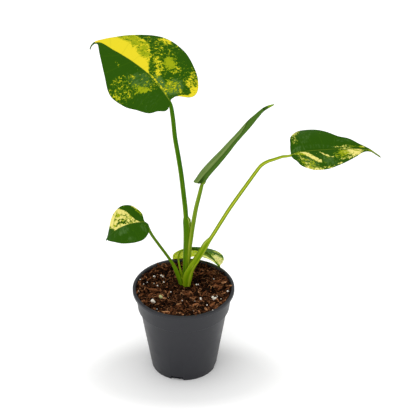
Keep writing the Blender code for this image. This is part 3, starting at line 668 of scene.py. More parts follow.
# Line in millimetres, then half width and half depth along it. wing is how far the sheath's edges stand
# out at the angles in edges, channel how deep its inner side is hollowed, knuckle the bent end's length.
# The bands are painted shade (down to -1) or painted highlight (up to 1), by degrees round the free stalk,
# and the sheath's bands are those of the sheath, which ends at the share named sheath.
PETIOLES = {
    "top": dict(
        line=((2.2, 12.6, 100), (3.5, 12.8, 122), (4.2, 13.3, 145), (4.7, 13.9, 171), (4.4, 14.3, 187),
              (3.2, 14.7, 202.5), (2.3, 15.2, 214), (0.2, 16.3, 236), (-2.1, 17.3, 258), (-5.1, 18.3, 280),
              (-8.2, 19.3, 301), (-10, 20.3, 322.3), (-11.2, 20.8, 333)),
        section=((0, 4.0, 4.0), (0.1, 4.4, 4.7), (0.36, 4.1, 4.6), (0.38, 3.7, 4.1), (0.395, 3.0, 3.1),
                 (0.47, 2.9, 3.0), (0.61, 2.8, 2.9), (0.78, 2.7, 2.75), (0.95, 2.5, 2.6), (1, 2.2, 2.2)),
        inner=(1, -0.4, 0), rings=200, knuckle=3.0, under=2.3, edges=(62, 118),
        sheath=0.395,
        sheath_painted_light_bands=((0, 0), (80, 0.1), (105, 0.25), (130, -0.1), (150, -0.6), (205, -0.7), (235, -0.35),
                      (255, 0), (300, 0)),
        painted_light_bands=((0, 0), (50, -0.9), (120, -0.95), (160, -0.4), (195, 0.15), (235, 0.35), (260, 0.1),
               (300, 0)),
        wing=((0, 0.9), (0.28, 0.9), (0.33, 2.2), (0.38, 2.7), (0.395, 0.0)),
        channel=((0, 0.5), (0.36, 0.45), (0.44, 0.12), (1, 0.1))),
    "rolled": dict(
        line=((5.3, 11.5, 130), (7.2, 11, 156), (9, 10.6, 171.5), (10.5, 10.2, 184.5), (12.4, 9.6, 198),
              (15.1, 8.6, 215), (18.5, 7.2, 231.5), (22, 5.8, 248)),
        section=((0, 2.0, 2.0), (0.15, 2.6, 2.6), (0.5, 2.6, 2.8), (0.9, 2.3, 2.4), (0.97, 1.7, 1.8),
                 (1, 1.2, 1.2)),
        inner=(-1, 0.3, 0), rings=100, knuckle=1.5, wing=((0, 0),), channel=((0, 0.15), (1, 0.1)),
        painted_light_bands=((0, 0.05), (35, 0.3), (70, -0.1), (280, -0.1), (320, -0.45), (360, 0.05))),
    "right": dict(
        line=((2.6, 9.6, 100), (4.7, 8.8, 120), (8.9, 8, 131.5), (15.1, 6.9, 142.7), (21, 5.8, 154.3),
              (28.4, 4.4, 169.8), (33.4, 3.6, 178.7), (43, 1.9, 198.2), (52.6, 0.5, 217.3),
              (62.7, -1.1, 235.8), (72.9, -2.7, 253.8), (83, -4.3, 271.6), (88.3, -5.1, 279.9),
              (95.2, -6.2, 285.7), (103, -7.4, 289.5), (111.2, -8.7, 293.5)),
        section=((0, 4.2, 4.6), (0.08, 4.6, 6.2), (0.135, 4.0, 4.6), (0.19, 3.4, 3.7), (0.29, 3.1, 3.6),
                 (0.32, 2.8, 3.0), (0.35, 2.4, 2.4), (0.62, 2.35, 2.35), (0.84, 2.1, 2.1), (0.96, 1.6, 1.6),
                 (1, 1.3, 1.3)),
        inner=(-0.6, 0, 0.8), rings=200, knuckle=4.0, under=0.9, edges=(52, 128),
        sheath=0.33,
        sheath_painted_light_bands=((0, -0.45), (14, -0.1), (40, 0.12), (90, 0.1), (290, -0.1), (318, 0.1), (331, 0.45),
                      (343, 0.1), (352, -0.55), (360, -0.45)),
        painted_light_bands=((0, 0.1), (10, 0.8), (24, 0.7), (38, -0.3), (75, 0), (300, 0), (330, -0.45),
               (348, -0.1), (360, 0.1)),
        wing=((0, 0.9), (0.12, 1.4), (0.16, 2.1), (0.3, 2.0), (0.335, 0.0)),
        channel=((0, 0.2), (0.15, 0.35), (0.3, 0.4), (0.36, 0.14), (1, 0.1))),
    "left": dict(
        line=((-0.8, 11, 100), (-5.3, 7.9, 117), (-8.3, 5.3, 128.8), (-12.3, 2.3, 141), (-19, -2.8, 156.5),
              (-26.4, -9.5, 173.6), (-33.7, -16.3, 190.8), (-36.9, -19.3, 199.4)),
        section=((0, 2.4, 2.4), (0.14, 2.7, 2.8), (0.25, 2.5, 2.6), (0.34, 2.1, 2.1), (0.4, 1.8, 1.8),
                 (0.9, 1.75, 1.8), (1, 1.6, 1.6)),
        inner=(0.8, 0.3, 0.5), rings=100, knuckle=2.0, under=2.0, edges=(52, 128),
        wing=((0, 0.5), (0.28, 0.5), (0.345, 0.0)), channel=((0, 0.35), (0.3, 0.3), (0.4, 0.12), (1, 0.1))),
    "back": dict(
        line=((0.4, 12.8, 104), (-2.0, 14.5, 116), (-4.6, 20, 123.6), (-6.1, 28, 128.2), (-5.8, 34, 131.6),
              (-4.2, 38.5, 133.3)),
        section=((0, 1.7, 1.7), (0.12, 1.5, 1.5), (0.4, 1.1, 1.15), (0.9, 1.1, 1.15), (1, 1.3, 1.2)),
        inner=(0, 0.7, 0.7), rings=60, knuckle=3.0, under=1.4, wing=((0, 0),), channel=((0, 0.1), (1, 0.1))),
}


def ramp(pairs, at):
    """Value read from (place, value) pairs with straight runs between them."""
    places, values = zip(*pairs)
    return np.interp(at, places, values)


def smooth_step(low, high, value):
    t = np.clip((value - low) / (high - low), 0, 1)
    return t * t * (3 - 2 * t)


def through(points, at):
    """Points of a smooth curve through the given ones, at shares 0 to 1 of their count."""
    points = np.asarray(points, float)
    ends = np.vstack([2 * points[0] - points[1], points, 2 * points[-1] - points[-2]])
    place = np.clip(at, 0, 1) * (len(points) - 1)
    first = np.minimum(place.astype(int), len(points) - 2)
    t = (place - first)[..., None]
    a, b, c, d = (ends[first + k] for k in range(4))
    return 0.5 * (2 * b + (c - a) * t + (2 * a - 5 * b + 4 * c - d) * t**2 + (3 * b - a - 3 * c + d) * t**3)


def give(mesh, name, values):
    """Stores one number, or one vector, for each point of the mesh."""
    values = np.asarray(values, np.float32)
    kind, key = ("FLOAT_VECTOR", "vector") if values.ndim == 2 else ("FLOAT", "value")
    mesh.attributes.new(name, kind, "POINT").data.foreach_set(key, values.ravel())


def place_on_line(line, share):
    """Points and directions at shares of a smooth line's length."""
    fine = through(line, np.linspace(0, 1, PATH_SAMPLES))
    run = np.concatenate([[0], np.cumsum(np.linalg.norm(np.diff(fine, axis=0), axis=1))])
    slope = np.gradient(fine, axis=0)
    at = share * run[-1]
    spots = np.stack([np.interp(at, run, fine[:, k]) for k in range(3)], -1)
    heads = np.stack([np.interp(at, run, slope[:, k]) for k in range(3)], -1)
    return spots, heads / np.linalg.norm(heads, axis=-1, keepdims=True), run[-1]


def stalk_mesh(name, stalk):
    """Round rod, cut into rings, whose points are moved to the stalk's own line and section."""
    bm = bmesh.new()
    bmesh.ops.create_cone(bm, cap_ends=True, segments=STALK_SIDES, radius1=1, radius2=1, depth=1)
    lengthwise = [edge for edge in bm.edges if abs(edge.verts[0].co.z - edge.verts[1].co.z) > 0.5]
    bmesh.ops.subdivide_edges(bm, edges=lengthwise, cuts=stalk["rings"] - 2, use_grid_fill=True)
    rod = np.array([vert.co for vert in bm.verts])
    share = rod[:, 2] + 0.5
    turn = np.arctan2(rod[:, 1], rod[:, 0])
    spots, heads, length = place_on_line(stalk["line"], share)
    across = np.cross(heads, stalk["inner"])
    across /= np.linalg.norm(across, axis=-1, keepdims=True)
    towards = np.cross(across, heads)
    inward = np.maximum(0, np.sin(turn)) ** 3
    edge = np.zeros_like(turn)
    for wing in np.radians(stalk.get("edges", ())):
        edge += np.exp(-((turn - wing) / WING_WIDTH) ** 2)
    edge *= ramp(stalk["wing"], share) > 0
    swell = 1 - ramp(stalk["channel"], share) * inward
    out = edge * ramp(stalk["wing"], share)
    half_width = ramp([row[:2] for row in stalk["section"]], share)
    half_depth = ramp([row[::2] for row in stalk["section"]], share)
    side = (half_width * swell + out) * np.cos(turn)
    deep = (half_depth * swell + out) * np.sin(turn)
    places = spots + across * side[:, None] + towards * deep[:, None]
    for vert, spot in zip(bm.verts, places):
        vert.co = spot
    bmesh.ops.recalc_face_normals(bm, faces=bm.faces)
    mesh = settle(bm, name)
    straight = np.stack([np.cos(turn) * half_width, np.sin(turn) * half_depth, share * length], -1)
    give(mesh, "rod", straight)
    papery = smooth_step(*PAPERY_FROM, share - stalk.get("sheath", 1))
    give(mesh, "edge", edge * (FAINT_EDGE + (1 - FAINT_EDGE) * papery))
    # Painted shade and painted highlight in bands round the stalk, by degrees
    low_painted_band, high_painted_band = (np.interp(np.degrees(turn) % 360, *zip(*stalk.get(key, ((0, 0),))))
                           for key in ("sheath_painted_light_bands", "painted_light_bands"))
    free = smooth_step(-0.03, 0.03, share - stalk.get("sheath", 0))
    give(mesh, "band", low_painted_band * (1 - free) + high_painted_band * free)
    give(mesh, "share", share)
    mesh.shade_smooth()
    return mesh


# Colour of the painted shade in the stalks' bands
PAINTED_SHADE_GREEN = (0.03, 0.13, 0.001, 1)
PAPERY = (0.62, 0.72, 0.16, 1)
# Shares of its length between which the base's colour gives way to the upper one
COLOUR_RUN = (0.25, 0.5)
# Colours of each stalk at its base, higher up and in its stripes, which also give its painted highlight, and
# how much of it is striped
STALK_COLOURS = {
    "top": ((0.19, 0.31, 0.003, 1), (0.055, 0.155, 0.001, 1), (0.32, 0.42, 0.01, 1), 0.05),
    "rolled": ((0.24, 0.33, 0.012, 1), (0.155, 0.265, 0.01, 1), (0.38, 0.45, 0.06, 1), 0.06),
    "right": ((0.2, 0.33, 0.003, 1), (0.235, 0.34, 0.004, 1), (0.6, 0.62, 0.06, 1), 0.05),
    "left": ((0.12, 0.24, 0.003, 1), (0.085, 0.17, 0.004, 1), (0.2, 0.36, 0.02, 1), 0.04),
    "back": ((0.2, 0.3, 0.004, 1), (0.16, 0.26, 0.004, 1), (0.25, 0.34, 0.01, 1), 0.05),
}


def stalk_finish(name, low, high, stripe, striped):
    """Fleshy skin: colour runs from the base up, with fine stripes drawn out along the stalk, and painted
    shade and highlight in bands round it.
    """
    material, tree = finish(name, Specular_IOR_Level=0.03)
    rod = kept(tree, "rod", "Vector")
    band = kept(tree, "band")
    drawn_out = add(tree, "Mapping", Vector=rod, Scale=(0.55, 0.55, 0.012)).outputs["Vector"]
    streaks = speckle(tree, drawn_out, 1.6, 5, 0.62)
    finely_drawn = add(tree, "Mapping", Vector=rod, Scale=(2.6, 2.6, 0.05)).outputs["Vector"]
    fine = speckle(tree, finely_drawn, 1.5, 3)
    body = blend(tree, mapped(tree, kept(tree, "share"), *COLOUR_RUN), low, high)
    # Painted shade where the band is below naught, painted highlight where it is above
    body = blend(tree, mapped(tree, band, 0, -1), body, PAINTED_SHADE_GREEN)
    body = blend(tree, mapped(tree, band, 0, 1), body, stripe)
    body = blend(tree, mapped(tree, streaks, 0.62 - striped, 0.78 - striped), body, stripe)
    shade = varied(tree, fine, 0.82, 1.14)
    shaded = add(tree, "VectorMath", body, operation="SCALE", Scale=shade).outputs["Vector"]
    pale = mapped(tree, kept(tree, "edge"), 0.3, 0.8)
    wire(tree, Base_Color=blend(tree, pale, shaded, PAPERY),
         Roughness=varied(tree, fine, 0.32, 0.46), Normal=bumped(tree, fine, 0.25, 0.3))
    return material


STALK_SKINS = {name: stalk_finish(f"petiole_{name}_skin", *colours)
               for name, colours in STALK_COLOURS.items()}

stem = shown("short_stem", stalk_mesh("short_stem", STEM), STALK_SKINS["right"])
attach(stem, "root")
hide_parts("stem")


# Leaf shapes
# A heart-shaped blade about half a millimetre thick, hung from its midrib and drooping to a drip tip.
# Two unequal halves bend down or up to their margins, with shallow quilting between the side veins.
BLADE_THICKNESS = 0.5
MIDRIB_THICKNESS = 2.4
MIDRIB_REACH = 1.5
MIDRIB_TAPER = 0.85
BLADE_ROWS = 132
BLADE_COLUMNS = 104
COLUMN_CROWDING = 1.25
CORNER_REACH = (0.06, 0.35)
MARGIN_WAVE = 1.0
MARGIN_WAVE_TURNS = 9
MIDRIB_SAMPLES = 120
VEIN_COUNT = 9
QUILTING = 0.28
QUILT_SHARPNESS = 0.6
MIDRIB_CHANNEL = 0.35
CHANNEL_WIDTH = 1.3
# How unevenly the midrib's places, its droop and its tip's own bend run along it, as powers
RIB_EASE = 1.15
DROOP_EASE = 1.3
TIP_EASE = 1.5
# Rows across half a blade: how far they lean with the margin and the reach over which that starts, the
# reach of the bulge at the foot, and how far out their bend lies
LEAN = 0.35
LEAN_REACH = 0.06
BULGE_REACH = 0.12
ROW_BEND = 0.55
# Half outline of a blade: part of its length, part of its half width
OUTLINE = ((-0.048, 0.362), (-0.02, 0.617), (0.073, 0.849), (0.185, 0.978), (0.372, 1.0),
           (0.573, 0.785), (0.743, 0.451), (0.85, 0.18), (0.9, 0.07), (1.0, 0.03))
# How much of the lobe's forward shift, of the shoulder's and of the fullness, and of the drip tip's length
# each outline point takes
LOBE_SHARE = (1, 1, 0.8, 0.4, 0, 0, 0, 0, 0, 0)
SHOULDER_SHARE = (0, 0.5, 1, 0.6, 0, 0, 0, 0, 0, 0)
FULL_SHARE = (0, 0, 0, 0, 0.3, 1, 1, 0.5, 0, 0)
DRIP_SHARE = (0, 0, 0, 0, 0, 0, 0, 0, 0.35, 1)
# Each flat leaf: angles in degrees, widths from the midrib to the margin, sides as the leaf points;
# tip_start is the share of its length where the tip starts to bend on its own,
# sway shifts the midrib to the left along the blade, and dents are places, reaches and depths in the margin
LEAVES = {
    "top": dict(
        base=(-13.3, 22, 347.3), length=136.8, drip=0.02, heading=127.6, pitch=24.8, droop=24.3,
        roll=-1.3, swing=16.2, tip_start=0.82, tip_curl=70, tip_swing=33.5,
        sway=((0, 0), (0.2, -1), (0.38, -2.4), (0.55, 0), (0.75, 2.6), (0.9, 1), (1, 0)),
        left=dict(width=51.1, fold=-3.4, curl=-27.5, lobe=0.013, full=-0.1, shoulder=-0.12, bulge=0.105),
        right=dict(width=55.6, fold=10.6, curl=-15.4, lobe=-0.012, full=0.315, shoulder=-0.05,
                   bulge=-0.056)),
    "right": dict(
        base=(121.6, -10, 296.8), length=95.1, drip=0.147, heading=11.9, pitch=4.8, droop=14.6,
        roll=3.3, swing=-4.9, tip_start=0.82, tip_curl=31, tip_swing=14.3,
        sway=((0, 0.6), (0.1, 2.4), (0.3, 2), (0.45, 0.8), (0.7, 0.8), (0.85, 0), (1, 0)),
        left=dict(width=41.6, fold=23.6, curl=-38.9, lobe=0.075, full=-0.32, shoulder=0.03,
                  bulge=-0.005, dents=((0.575, 0.045, 0.1), (0.74, 0.07, 0.1))),
        right=dict(width=36.3, fold=4.3, curl=-11.5, lobe=0.079, full=-0.04, shoulder=-0.01, bulge=0.017)),
    "left": dict(
        base=(-42.4, -25, 217.8), length=57.8, drip=-0.089, heading=193.7, pitch=5.5, droop=75.8,
        roll=-0.9, swing=-7.8, tip_start=0.9, tip_curl=-40, tip_swing=-2.8,
        sway=((0, 0), (1, 0)),
        left=dict(width=29, fold=-3.8, curl=-10.6, lobe=0.008, full=0.12, shoulder=0.06, bulge=0.075),
        right=dict(width=28.2, fold=-4.1, curl=34.3, lobe=0.041, full=0.08, shoulder=-0.026,
                   bulge=-0.02)),
    "back": dict(
        base=(3.4, 48, 132.2), length=67, drip=0, heading=41, pitch=-23.9, droop=46.6,
        roll=-26.3, swing=-34.4, tip_start=0.82, tip_curl=20.8, tip_swing=1,
        sway=((0, 0), (1, 0)),
        left=dict(width=36.8, fold=-11, curl=-26.5, lobe=0, full=-0.3, shoulder=0, bulge=0.028),
        right=dict(width=35.9, fold=7.7, curl=-21.5, lobe=0, full=0, shoulder=0, bulge=0)),
}


def outline_of(side, drip):
    """Half outline with the side's own lobe, fullness and shoulder, and with the leaf's own drip tip."""
    shape = np.array(OUTLINE)
    shape[:, 0] += side["lobe"] * np.array(LOBE_SHARE) + drip * np.array(DRIP_SHARE)
    shape[:, 1] *= 1 + side["full"] * np.array(FULL_SHARE) + side["shoulder"] * np.array(SHOULDER_SHARE)
    return shape


def flat_blade(side, drip, along, out):
    """Place on the flat half blade: along runs base to tip, out from midrib to margin."""
    margin = through(outline_of(side, drip), along)
    for place, reach, depth in side.get("dents", ()):
        margin[..., 1] *= 1 - depth * np.exp(-(((along - place) / reach) ** 2))
    rib = along**RIB_EASE + drip * along**8
    lean = LEAN * np.clip(along / LEAN_REACH, 0, 1)
    bulge = side["bulge"] * np.clip(1 - along / BULGE_REACH, 0, 1) ** 2
    bend_x = rib + (margin[..., 0] - rib) * lean - bulge
    bend_y = ROW_BEND * margin[..., 1]
    x = rib * (1 - out) ** 2 + 2 * bend_x * out * (1 - out) + margin[..., 0] * out**2
    y = 2 * bend_y * out * (1 - out) + margin[..., 1] * out**2
    return x, y


def midrib_frames(leaf):
    """Middle line of a drooping blade with its direction, side and upward vectors."""
    whole = 1 + leaf["drip"]
    share = np.linspace(0, whole, MIDRIB_SAMPLES)
    end = np.clip((share - leaf["tip_start"]) / (1 - leaf["tip_start"]), 0, 1) ** TIP_EASE
    droop = leaf["droop"] * np.minimum(share, 1) ** DROOP_EASE
    pitch = np.radians(leaf["pitch"] - droop - leaf["tip_curl"] * end)
    yaw = np.radians(leaf["heading"] + leaf["swing"] * share + leaf["tip_swing"] * end)
    roll = math.radians(leaf["roll"])
    along = np.stack([np.cos(pitch) * np.cos(yaw), np.cos(pitch) * np.sin(yaw), np.sin(pitch)], -1)
    level = np.stack([-np.sin(yaw), np.cos(yaw), 0 * yaw], -1)
    side = level * math.cos(roll) + np.cross(along, level) * math.sin(roll)
    moves = (along[1:] + along[:-1]) / 2 * leaf["length"] * whole / (MIDRIB_SAMPLES - 1)
    centre = np.array(leaf["base"]) + np.vstack([np.zeros(3), np.cumsum(moves, axis=0)])
    return share * leaf["length"], centre, along, side, np.cross(along, side)


def relief(along, out, y):
    """Height of the upper face over the smooth blade: quilts between side veins, a channel at the midrib."""
    quilt = np.abs(np.sin(math.pi * VEIN_COUNT * along)) ** QUILT_SHARPNESS - 0.5
    fade = np.sin(math.pi * np.clip(along, 0, 1)) ** 0.5
    fade = fade * smooth_step(0.02, 0.15, out) * (1 - smooth_step(0.8, 1, out))
    channel = MIDRIB_CHANNEL * np.exp(-((y / CHANNEL_WIDTH) ** 2)) * (1 - 0.7 * along)
    return QUILTING * quilt * fade - channel


def ease_corner(along, out):
    """Rounds off the corner where a lobe's lower edge meets its outer margin."""
    low = np.clip(1 - along / CORNER_REACH[0], 0, 1)
    far = np.clip(1 - (1 - np.abs(out)) / CORNER_REACH[1], 0, 1)
    eased_along = along + CORNER_REACH[0] * low * (1 - np.sqrt(1 - far**2 / 2))
    eased_out = np.abs(out) - CORNER_REACH[1] * far * (1 - np.sqrt(1 - low**2 / 2))
    return eased_along, np.sign(out) * eased_out


def blade_places(leaf, along, out):
    """Points of the upper face, for along in 0 to 1 and out in -1 (right margin) to 1 (left margin)."""
    along, out = ease_corner(along, out)
    places, centre, ahead, aside, upward = midrib_frames(leaf)
    result = np.zeros(along.shape + (3,))
    sway = ramp(leaf["sway"], along) * (1 - out**2)
    for sign, side in ((1, leaf["left"]), (-1, leaf["right"])):
        x, y = flat_blade(side, leaf["drip"], along, np.abs(out))
        x = x * leaf["length"]
        y = y * side["width"]
        fold = math.radians(side["fold"])
        rate = math.radians(side["curl"]) / side["width"]
        level = (np.sin(fold + rate * y) - math.sin(fold)) / rate
        ripple = np.sin(MARGIN_WAVE_TURNS * along + 2 * sign) * np.sin(math.pi * along)
        rise = (math.cos(fold) - np.cos(fold + rate * y)) / rate
        rise = rise + MARGIN_WAVE * np.abs(out) ** 3 * ripple + relief(along, np.abs(out), y)

        def at(field):
            return np.stack([np.interp(np.clip(x, 0, None), places, field[:, k]) for k in range(3)], -1)

        spot = at(centre) + np.minimum(x, 0)[..., None] * at(ahead)
        spot += (sign * level + sway)[..., None] * at(aside) + rise[..., None] * at(upward)
        result = np.where((sign * out >= 0)[..., None], spot, result)
    return result


def sheet(name, rows, columns, spread, place):
    """Grid whose (along, across) shares are mapped to millimetres by place; returns mesh and shares."""
    bm = bmesh.new()
    bmesh.ops.create_grid(bm, x_segments=rows, y_segments=columns, size=0.5)
    shares = np.array([(vert.co.x + 0.5, spread(vert.co.y + 0.5)) for vert in bm.verts])
    for vert, spot in zip(bm.verts, place(shares[:, 0], shares[:, 1])):
        vert.co = spot
    return settle(bm, name), shares


def column_spread(share):
    """Columns crowd towards the midrib, where the blade is thick."""
    out = 2 * share - 1
    return math.copysign(abs(out) ** COLUMN_CROWDING, out)


def thicken(thing, weights, thin, thick, offset, under):
    """Gives a sheet its thickness, thicker at the midrib, with its own finish underneath."""
    group = thing.vertex_groups.new(name="midrib")
    for index in np.flatnonzero(weights > 0.01):
        group.add([int(index)], float(weights[index]), "REPLACE")
    solid = thing.modifiers.new("thickness", "SOLIDIFY")
    solid.thickness = thick * MM
    solid.offset = offset
    solid.vertex_group = group.name
    solid.thickness_vertex_group = thin / thick
    solid.material_offset = under


# Leaf markings
# Two layers of leaf tissue, each green or without green, in sectors and splashes along the side veins.
# Both green give dark green, both pale give yellow, and one over the other gives lime or grey-green. The
# grey-green is partly painted sheen.
CHANNELS = ("pale", "lime", "grey_green_and_sheen")
# Strokes by channel: place along, place out from the midrib, reach along, reach out, slant, how much
STROKES = {
    "top": dict(pale=(
        (0.36, 0.6, 0.085, 0.62, 0.12, 0.28), (0.4, 0.85, 0.05, 0.25, 0.1, 0.38),
        (0.46, 0.6, 0.03, 0.3, 0.1, 0.4), (0.3, 0.42, 0.05, 0.1, 0.2, 0.72),
        (0.26, 0.3, 0.03, 0.06, 0.2, 0.66), (0.58, 0.45, 0.04, 0.06, 0, 0.26),
        (0.27, 0.15, 0.06, 0.14, 0.1, 0.34), (0.45, 0.5, 0.04, 0.3, 0.1, 0.32),
        (0.42, -0.55, 0.22, 0.7, -0.1, 0.31), (0.3, -0.9, 0.2, 0.2, 0, 0.22), (0.27, -0.62, 0.1, 0.2, 0, 0.2),
        (0.39, -0.87, 0.09, 0.13, 0, 0.04), (0.26, -0.35, 0.07, 0.2, -0.15, 0.02),
        (0.29, -0.72, 0.09, 0.14, 0, 0.2), (0.18, -0.25, 0.08, 0.24, -0.1, 0.52),
        (0.06, -0.3, 0.05, 0.2, 0, 0.16), (0.39, -0.5, 0.045, 0.13, -0.1, 0.72),
        (0.33, -0.52, 0.03, 0.12, -0.1, 0.55), (0.36, -0.2, 0.03, 0.14, -0.3, 0.6),
        (0.44, -0.32, 0.04, 0.1, -0.3, 0.55), (0.53, -0.92, 0.03, 0.1, 0, 0.7),
        (0.13, -0.9, 0.16, 0.14, 0, 0.85), (0.03, -0.72, 0.05, 0.28, 0, 0.85),
        (0.2, -0.78, 0.05, 0.14, 0, 0.6), (0.22, -0.92, 0.06, 0.08, 0, 0.4),
        (0.1, -0.66, 0.05, 0.15, 0.1, 0.16), (0.12, -0.45, 0.04, 0.12, 0.1, 0.42),
        (0.15, -0.03, 0.12, 0.03, 0, 0.5), (0.3, -0.02, 0.1, 0.02, 0, 0.6),
    ), lime=(
        (0.36, 0.6, 0.085, 0.62, 0.12, 0.5), (0.3, 0.42, 0.07, 0.16, 0.2, 0.95),
        (0.42, -0.55, 0.24, 0.72, -0.1, 0.36), (0.18, -0.25, 0.09, 0.26, -0.1, 0.6),
        (0.39, -0.5, 0.06, 0.16, -0.1, 1),
    ), grey_green_and_sheen=(
        (0.18, 0.55, 0.12, 0.45, 0, 0.3), (0.36, 0.25, 0.1, 0.28, 0.1, 0.75),
        (0.16, -0.3, 0.09, 0.3, -0.1, 1.1), (0.27, -0.1, 0.08, 0.08, -0.2, 1.1),
    )),
    "right": dict(pale=(
        (0.21, 0.93, 0.1, 0.16, 0, 0.48), (0.14, 0.66, 0.06, 0.28, 0, 0.38),
        (0.66, 0.26, 0.03, 0.14, 0.1, 0.55), (0.6, 0.14, 0.06, 0.05, 0, 0.5),
        (0.72, 0.3, 0.05, 0.3, 0.1, 0.34), (0.82, 0.6, 0.035, 0.3, 0, 0.7), (0.95, 0, 0.08, 1.2, 0, 0.5),
        (0.05, -0.4, 0.06, 0.7, 0, 0.1), (0.12, -0.12, 0.07, 0.14, -0.3, 0.62),
        (0.21, -0.15, 0.06, 0.17, -0.33, 0.9), (0.31, -0.42, 0.05, 0.24, -0.33, 0.9),
        (0.24, -0.78, 0.13, 0.4, -0.15, 0.45), (0.17, -0.5, 0.04, 0.3, -0.25, 0.46),
        (0.23, -0.95, 0.07, 0.12, 0, 0.7), (0.35, -0.97, 0.06, 0.07, 0, 0.7),
        (0.46, -0.62, 0.06, 0.32, -0.1, 0.16), (0.45, -0.3, 0.018, 0.24, -0.3, 0.75),
        (0.44, -0.93, 0.05, 0.1, 0, 0.4), (0.7, -0.5, 0.14, 0.56, -0.02, 0.84),
        (0.57, -0.55, 0.05, 0.3, -0.1, 0.42), (0.66, -0.14, 0.1, 0.05, 0, 0.2),
        (0.62, -0.72, 0.07, 0.09, 0.1, 0.45), (0.82, -0.1, 0.1, 0.1, 0, 0.6),
        (0.53, -0.94, 0.02, 0.06, 0, 0.65),
    ), lime=(
        (0.9, 0.5, 0.05, 0.6, 0, 1), (0.78, 0.45, 0.06, 0.4, 0, 0.9), (0.95, 0, 0.1, 1.2, 0, 1),
        (0.3, -0.5, 0.26, 0.7, 0, 0.28), (0.12, -0.12, 0.07, 0.16, -0.3, 0.7),
        (0.24, -0.7, 0.13, 0.34, -0.15, 0.55), (0.6, -0.4, 0.08, 0.4, 0, 0.75),
        (0.75, -0.4, 0.02, 0.4, -0.1, 0.8),
    ), grey_green_and_sheen=(
        (0.12, 0.15, 0.12, 0.12, 0, 0.7), (0.3, 0.6, 0.09, 0.3, 0.1, 0.5), (0.27, 0.38, 0.06, 0.12, 0, 0.5),
        (0.42, 0.12, 0.3, 0.08, 0, 0.5), (0.62, 0.7, 0.06, 0.25, 0.1, 0.5),
        (0.25, -0.65, 0.1, 0.3, -0.15, 0.9), (0.46, -0.6, 0.06, 0.35, -0.1, 0.7),
    )),
    "left": dict(pale=(
        (0.33, -0.1, 0.1, 0.1, -0.2, 0.5), (0.44, -0.16, 0.06, 0.12, -0.1, 0.42),
        (0.36, -0.3, 0.008, 0.12, -0.4, 0.3), (0.42, -0.52, 0.008, 0.16, -0.4, 0.3),
        (0.46, -0.36, 0.014, 0.16, -0.35, 0.3), (0.53, -0.56, 0.012, 0.2, -0.25, 0.36),
        (0.55, -0.34, 0.026, 0.07, 0, 0.12), (0.5, -0.28, 0.024, 0.06, 0, 0.1),
        (0.53, -0.46, 0.016, 0.06, 0, 0.14), (0.59, -0.24, 0.03, 0.07, 0, 0.3),
        (0.46, -0.2, 0.016, 0.06, 0, 0.1), (0.2, -0.98, 0.12, 0.06, 0, 0.85),
        (0.1, -0.84, 0.06, 0.2, 0, 0.42), (0.2, -0.86, 0.06, 0.08, 0, 0.45),
        (0.08, 0.38, 0.02, 0.05, 0, 0.38),
    ), lime=(
        (0.45, -0.4, 0.25, 0.7, 0, 0.36), (0.62, -0.4, 0.012, 0.12, 0, 0.8), (0.14, -0.9, 0.12, 0.18, 0, 0.6),
    ), grey_green_and_sheen=(
        (0.52, 0.25, 0.12, 0.28, 0.1, 0.75), (0.43, 0.8, 0.05, 0.22, 0, 0.55), (0.15, 0.5, 0.06, 0.4, 0, 0.6),
        (0.64, 0.4, 0.05, 0.3, 0.1, 0.5),
    )),
    "back": dict(pale=(
        (0.3, 0.6, 0.42, 0.62, 0, 0.9), (0.25, -0.5, 0.33, 0.56, 0, 0.04), (0.71, -0.66, 0.18, 0.66, 0, 0.84),
        (0.7, 0.7, 0.13, 0.26, 0, 0.85), (0.73, 0.2, 0.19, 0.26, 0, -0.1),
        (0.78, -0.5, 0.012, 0.3, -0.12, 0.3), (0.95, -0.6, 0.05, 0.5, 0, 0.05),
        (0.42, -0.9, 0.06, 0.3, 0, 0.5),
    ), lime=(
        (0.3, 0.6, 0.46, 0.66, 0, 0.75), (0.76, -0.4, 0.1, 0.3, 0, 0.3), (0.7, 0.7, 0.14, 0.28, 0, 0.3),
    ), grey_green_and_sheen=(
        (0.3, 0.04, 0.25, 0.06, 0, 1.2), (0.7, 0.22, 0.14, 0.14, 0, 0.8),
    )),
}
# Marks of a place before any stroke, channel by channel
BARE_MARKS = (-0.06, 0.1, 0.1)
# Side veins that bound the sectors without green: where each starts, how far it leans, how it bends
CREAM_VEIN = (0.1, 0.38, 0.75)
YELLOW_VEIN = (0.36, 0.3, 0.62)
SECTOR_EDGE = (-0.01, 0.02)
CREAM_PALENESS = 0.84
# Where along the leaf the cream sector fades out again
CREAM_FADES = (0.65, 0.71)
YELLOW_PALENESS = 1.3
# In the band of streaks at the yellow sector's edge: how lime, and how much less pale
LIME_STREAKS = 0.6
LESS_PALE = 0.62
# The top leaf's tip, from this share of its length on, is nearly green
GREEN_TIP = 0.93
GREEN_TIP_PALENESS = 0.15
# Where a stroke starts to fade and where it ends, as shares of its reach
STROKE_EDGE = (0.5, 1.4)


def past_vein(vein, along, out):
    """How far along the blade a place lies beyond a side vein's curve."""
    start, lean, bend = vein
    return along - (start + lean * np.abs(out) ** bend)


def with_yellow_sector(marks, along, out):
    """Marks of the top leaf with its sector without green, whose edge has a band of lime streaks."""
    beyond = past_vein(YELLOW_VEIN, along, out)
    sector = smooth_step(-0.012, 0.018, beyond) * (out < 0)
    band = smooth_step(*SECTOR_EDGE, beyond) * (1 - smooth_step(0.07, 0.15, beyond))
    streaks = band * smooth_step(0.1, 0.25, np.abs(out)) * (out < 0)
    pale, lime, grey_green_and_sheen = marks.T
    pale = pale * (1 - sector) + (YELLOW_PALENESS - LESS_PALE * streaks) * sector
    pale = np.where(along > GREEN_TIP, GREEN_TIP_PALENESS, pale)
    return np.stack([pale, lime * (1 - sector) + LIME_STREAKS * streaks, grey_green_and_sheen * (1 - sector)], -1)


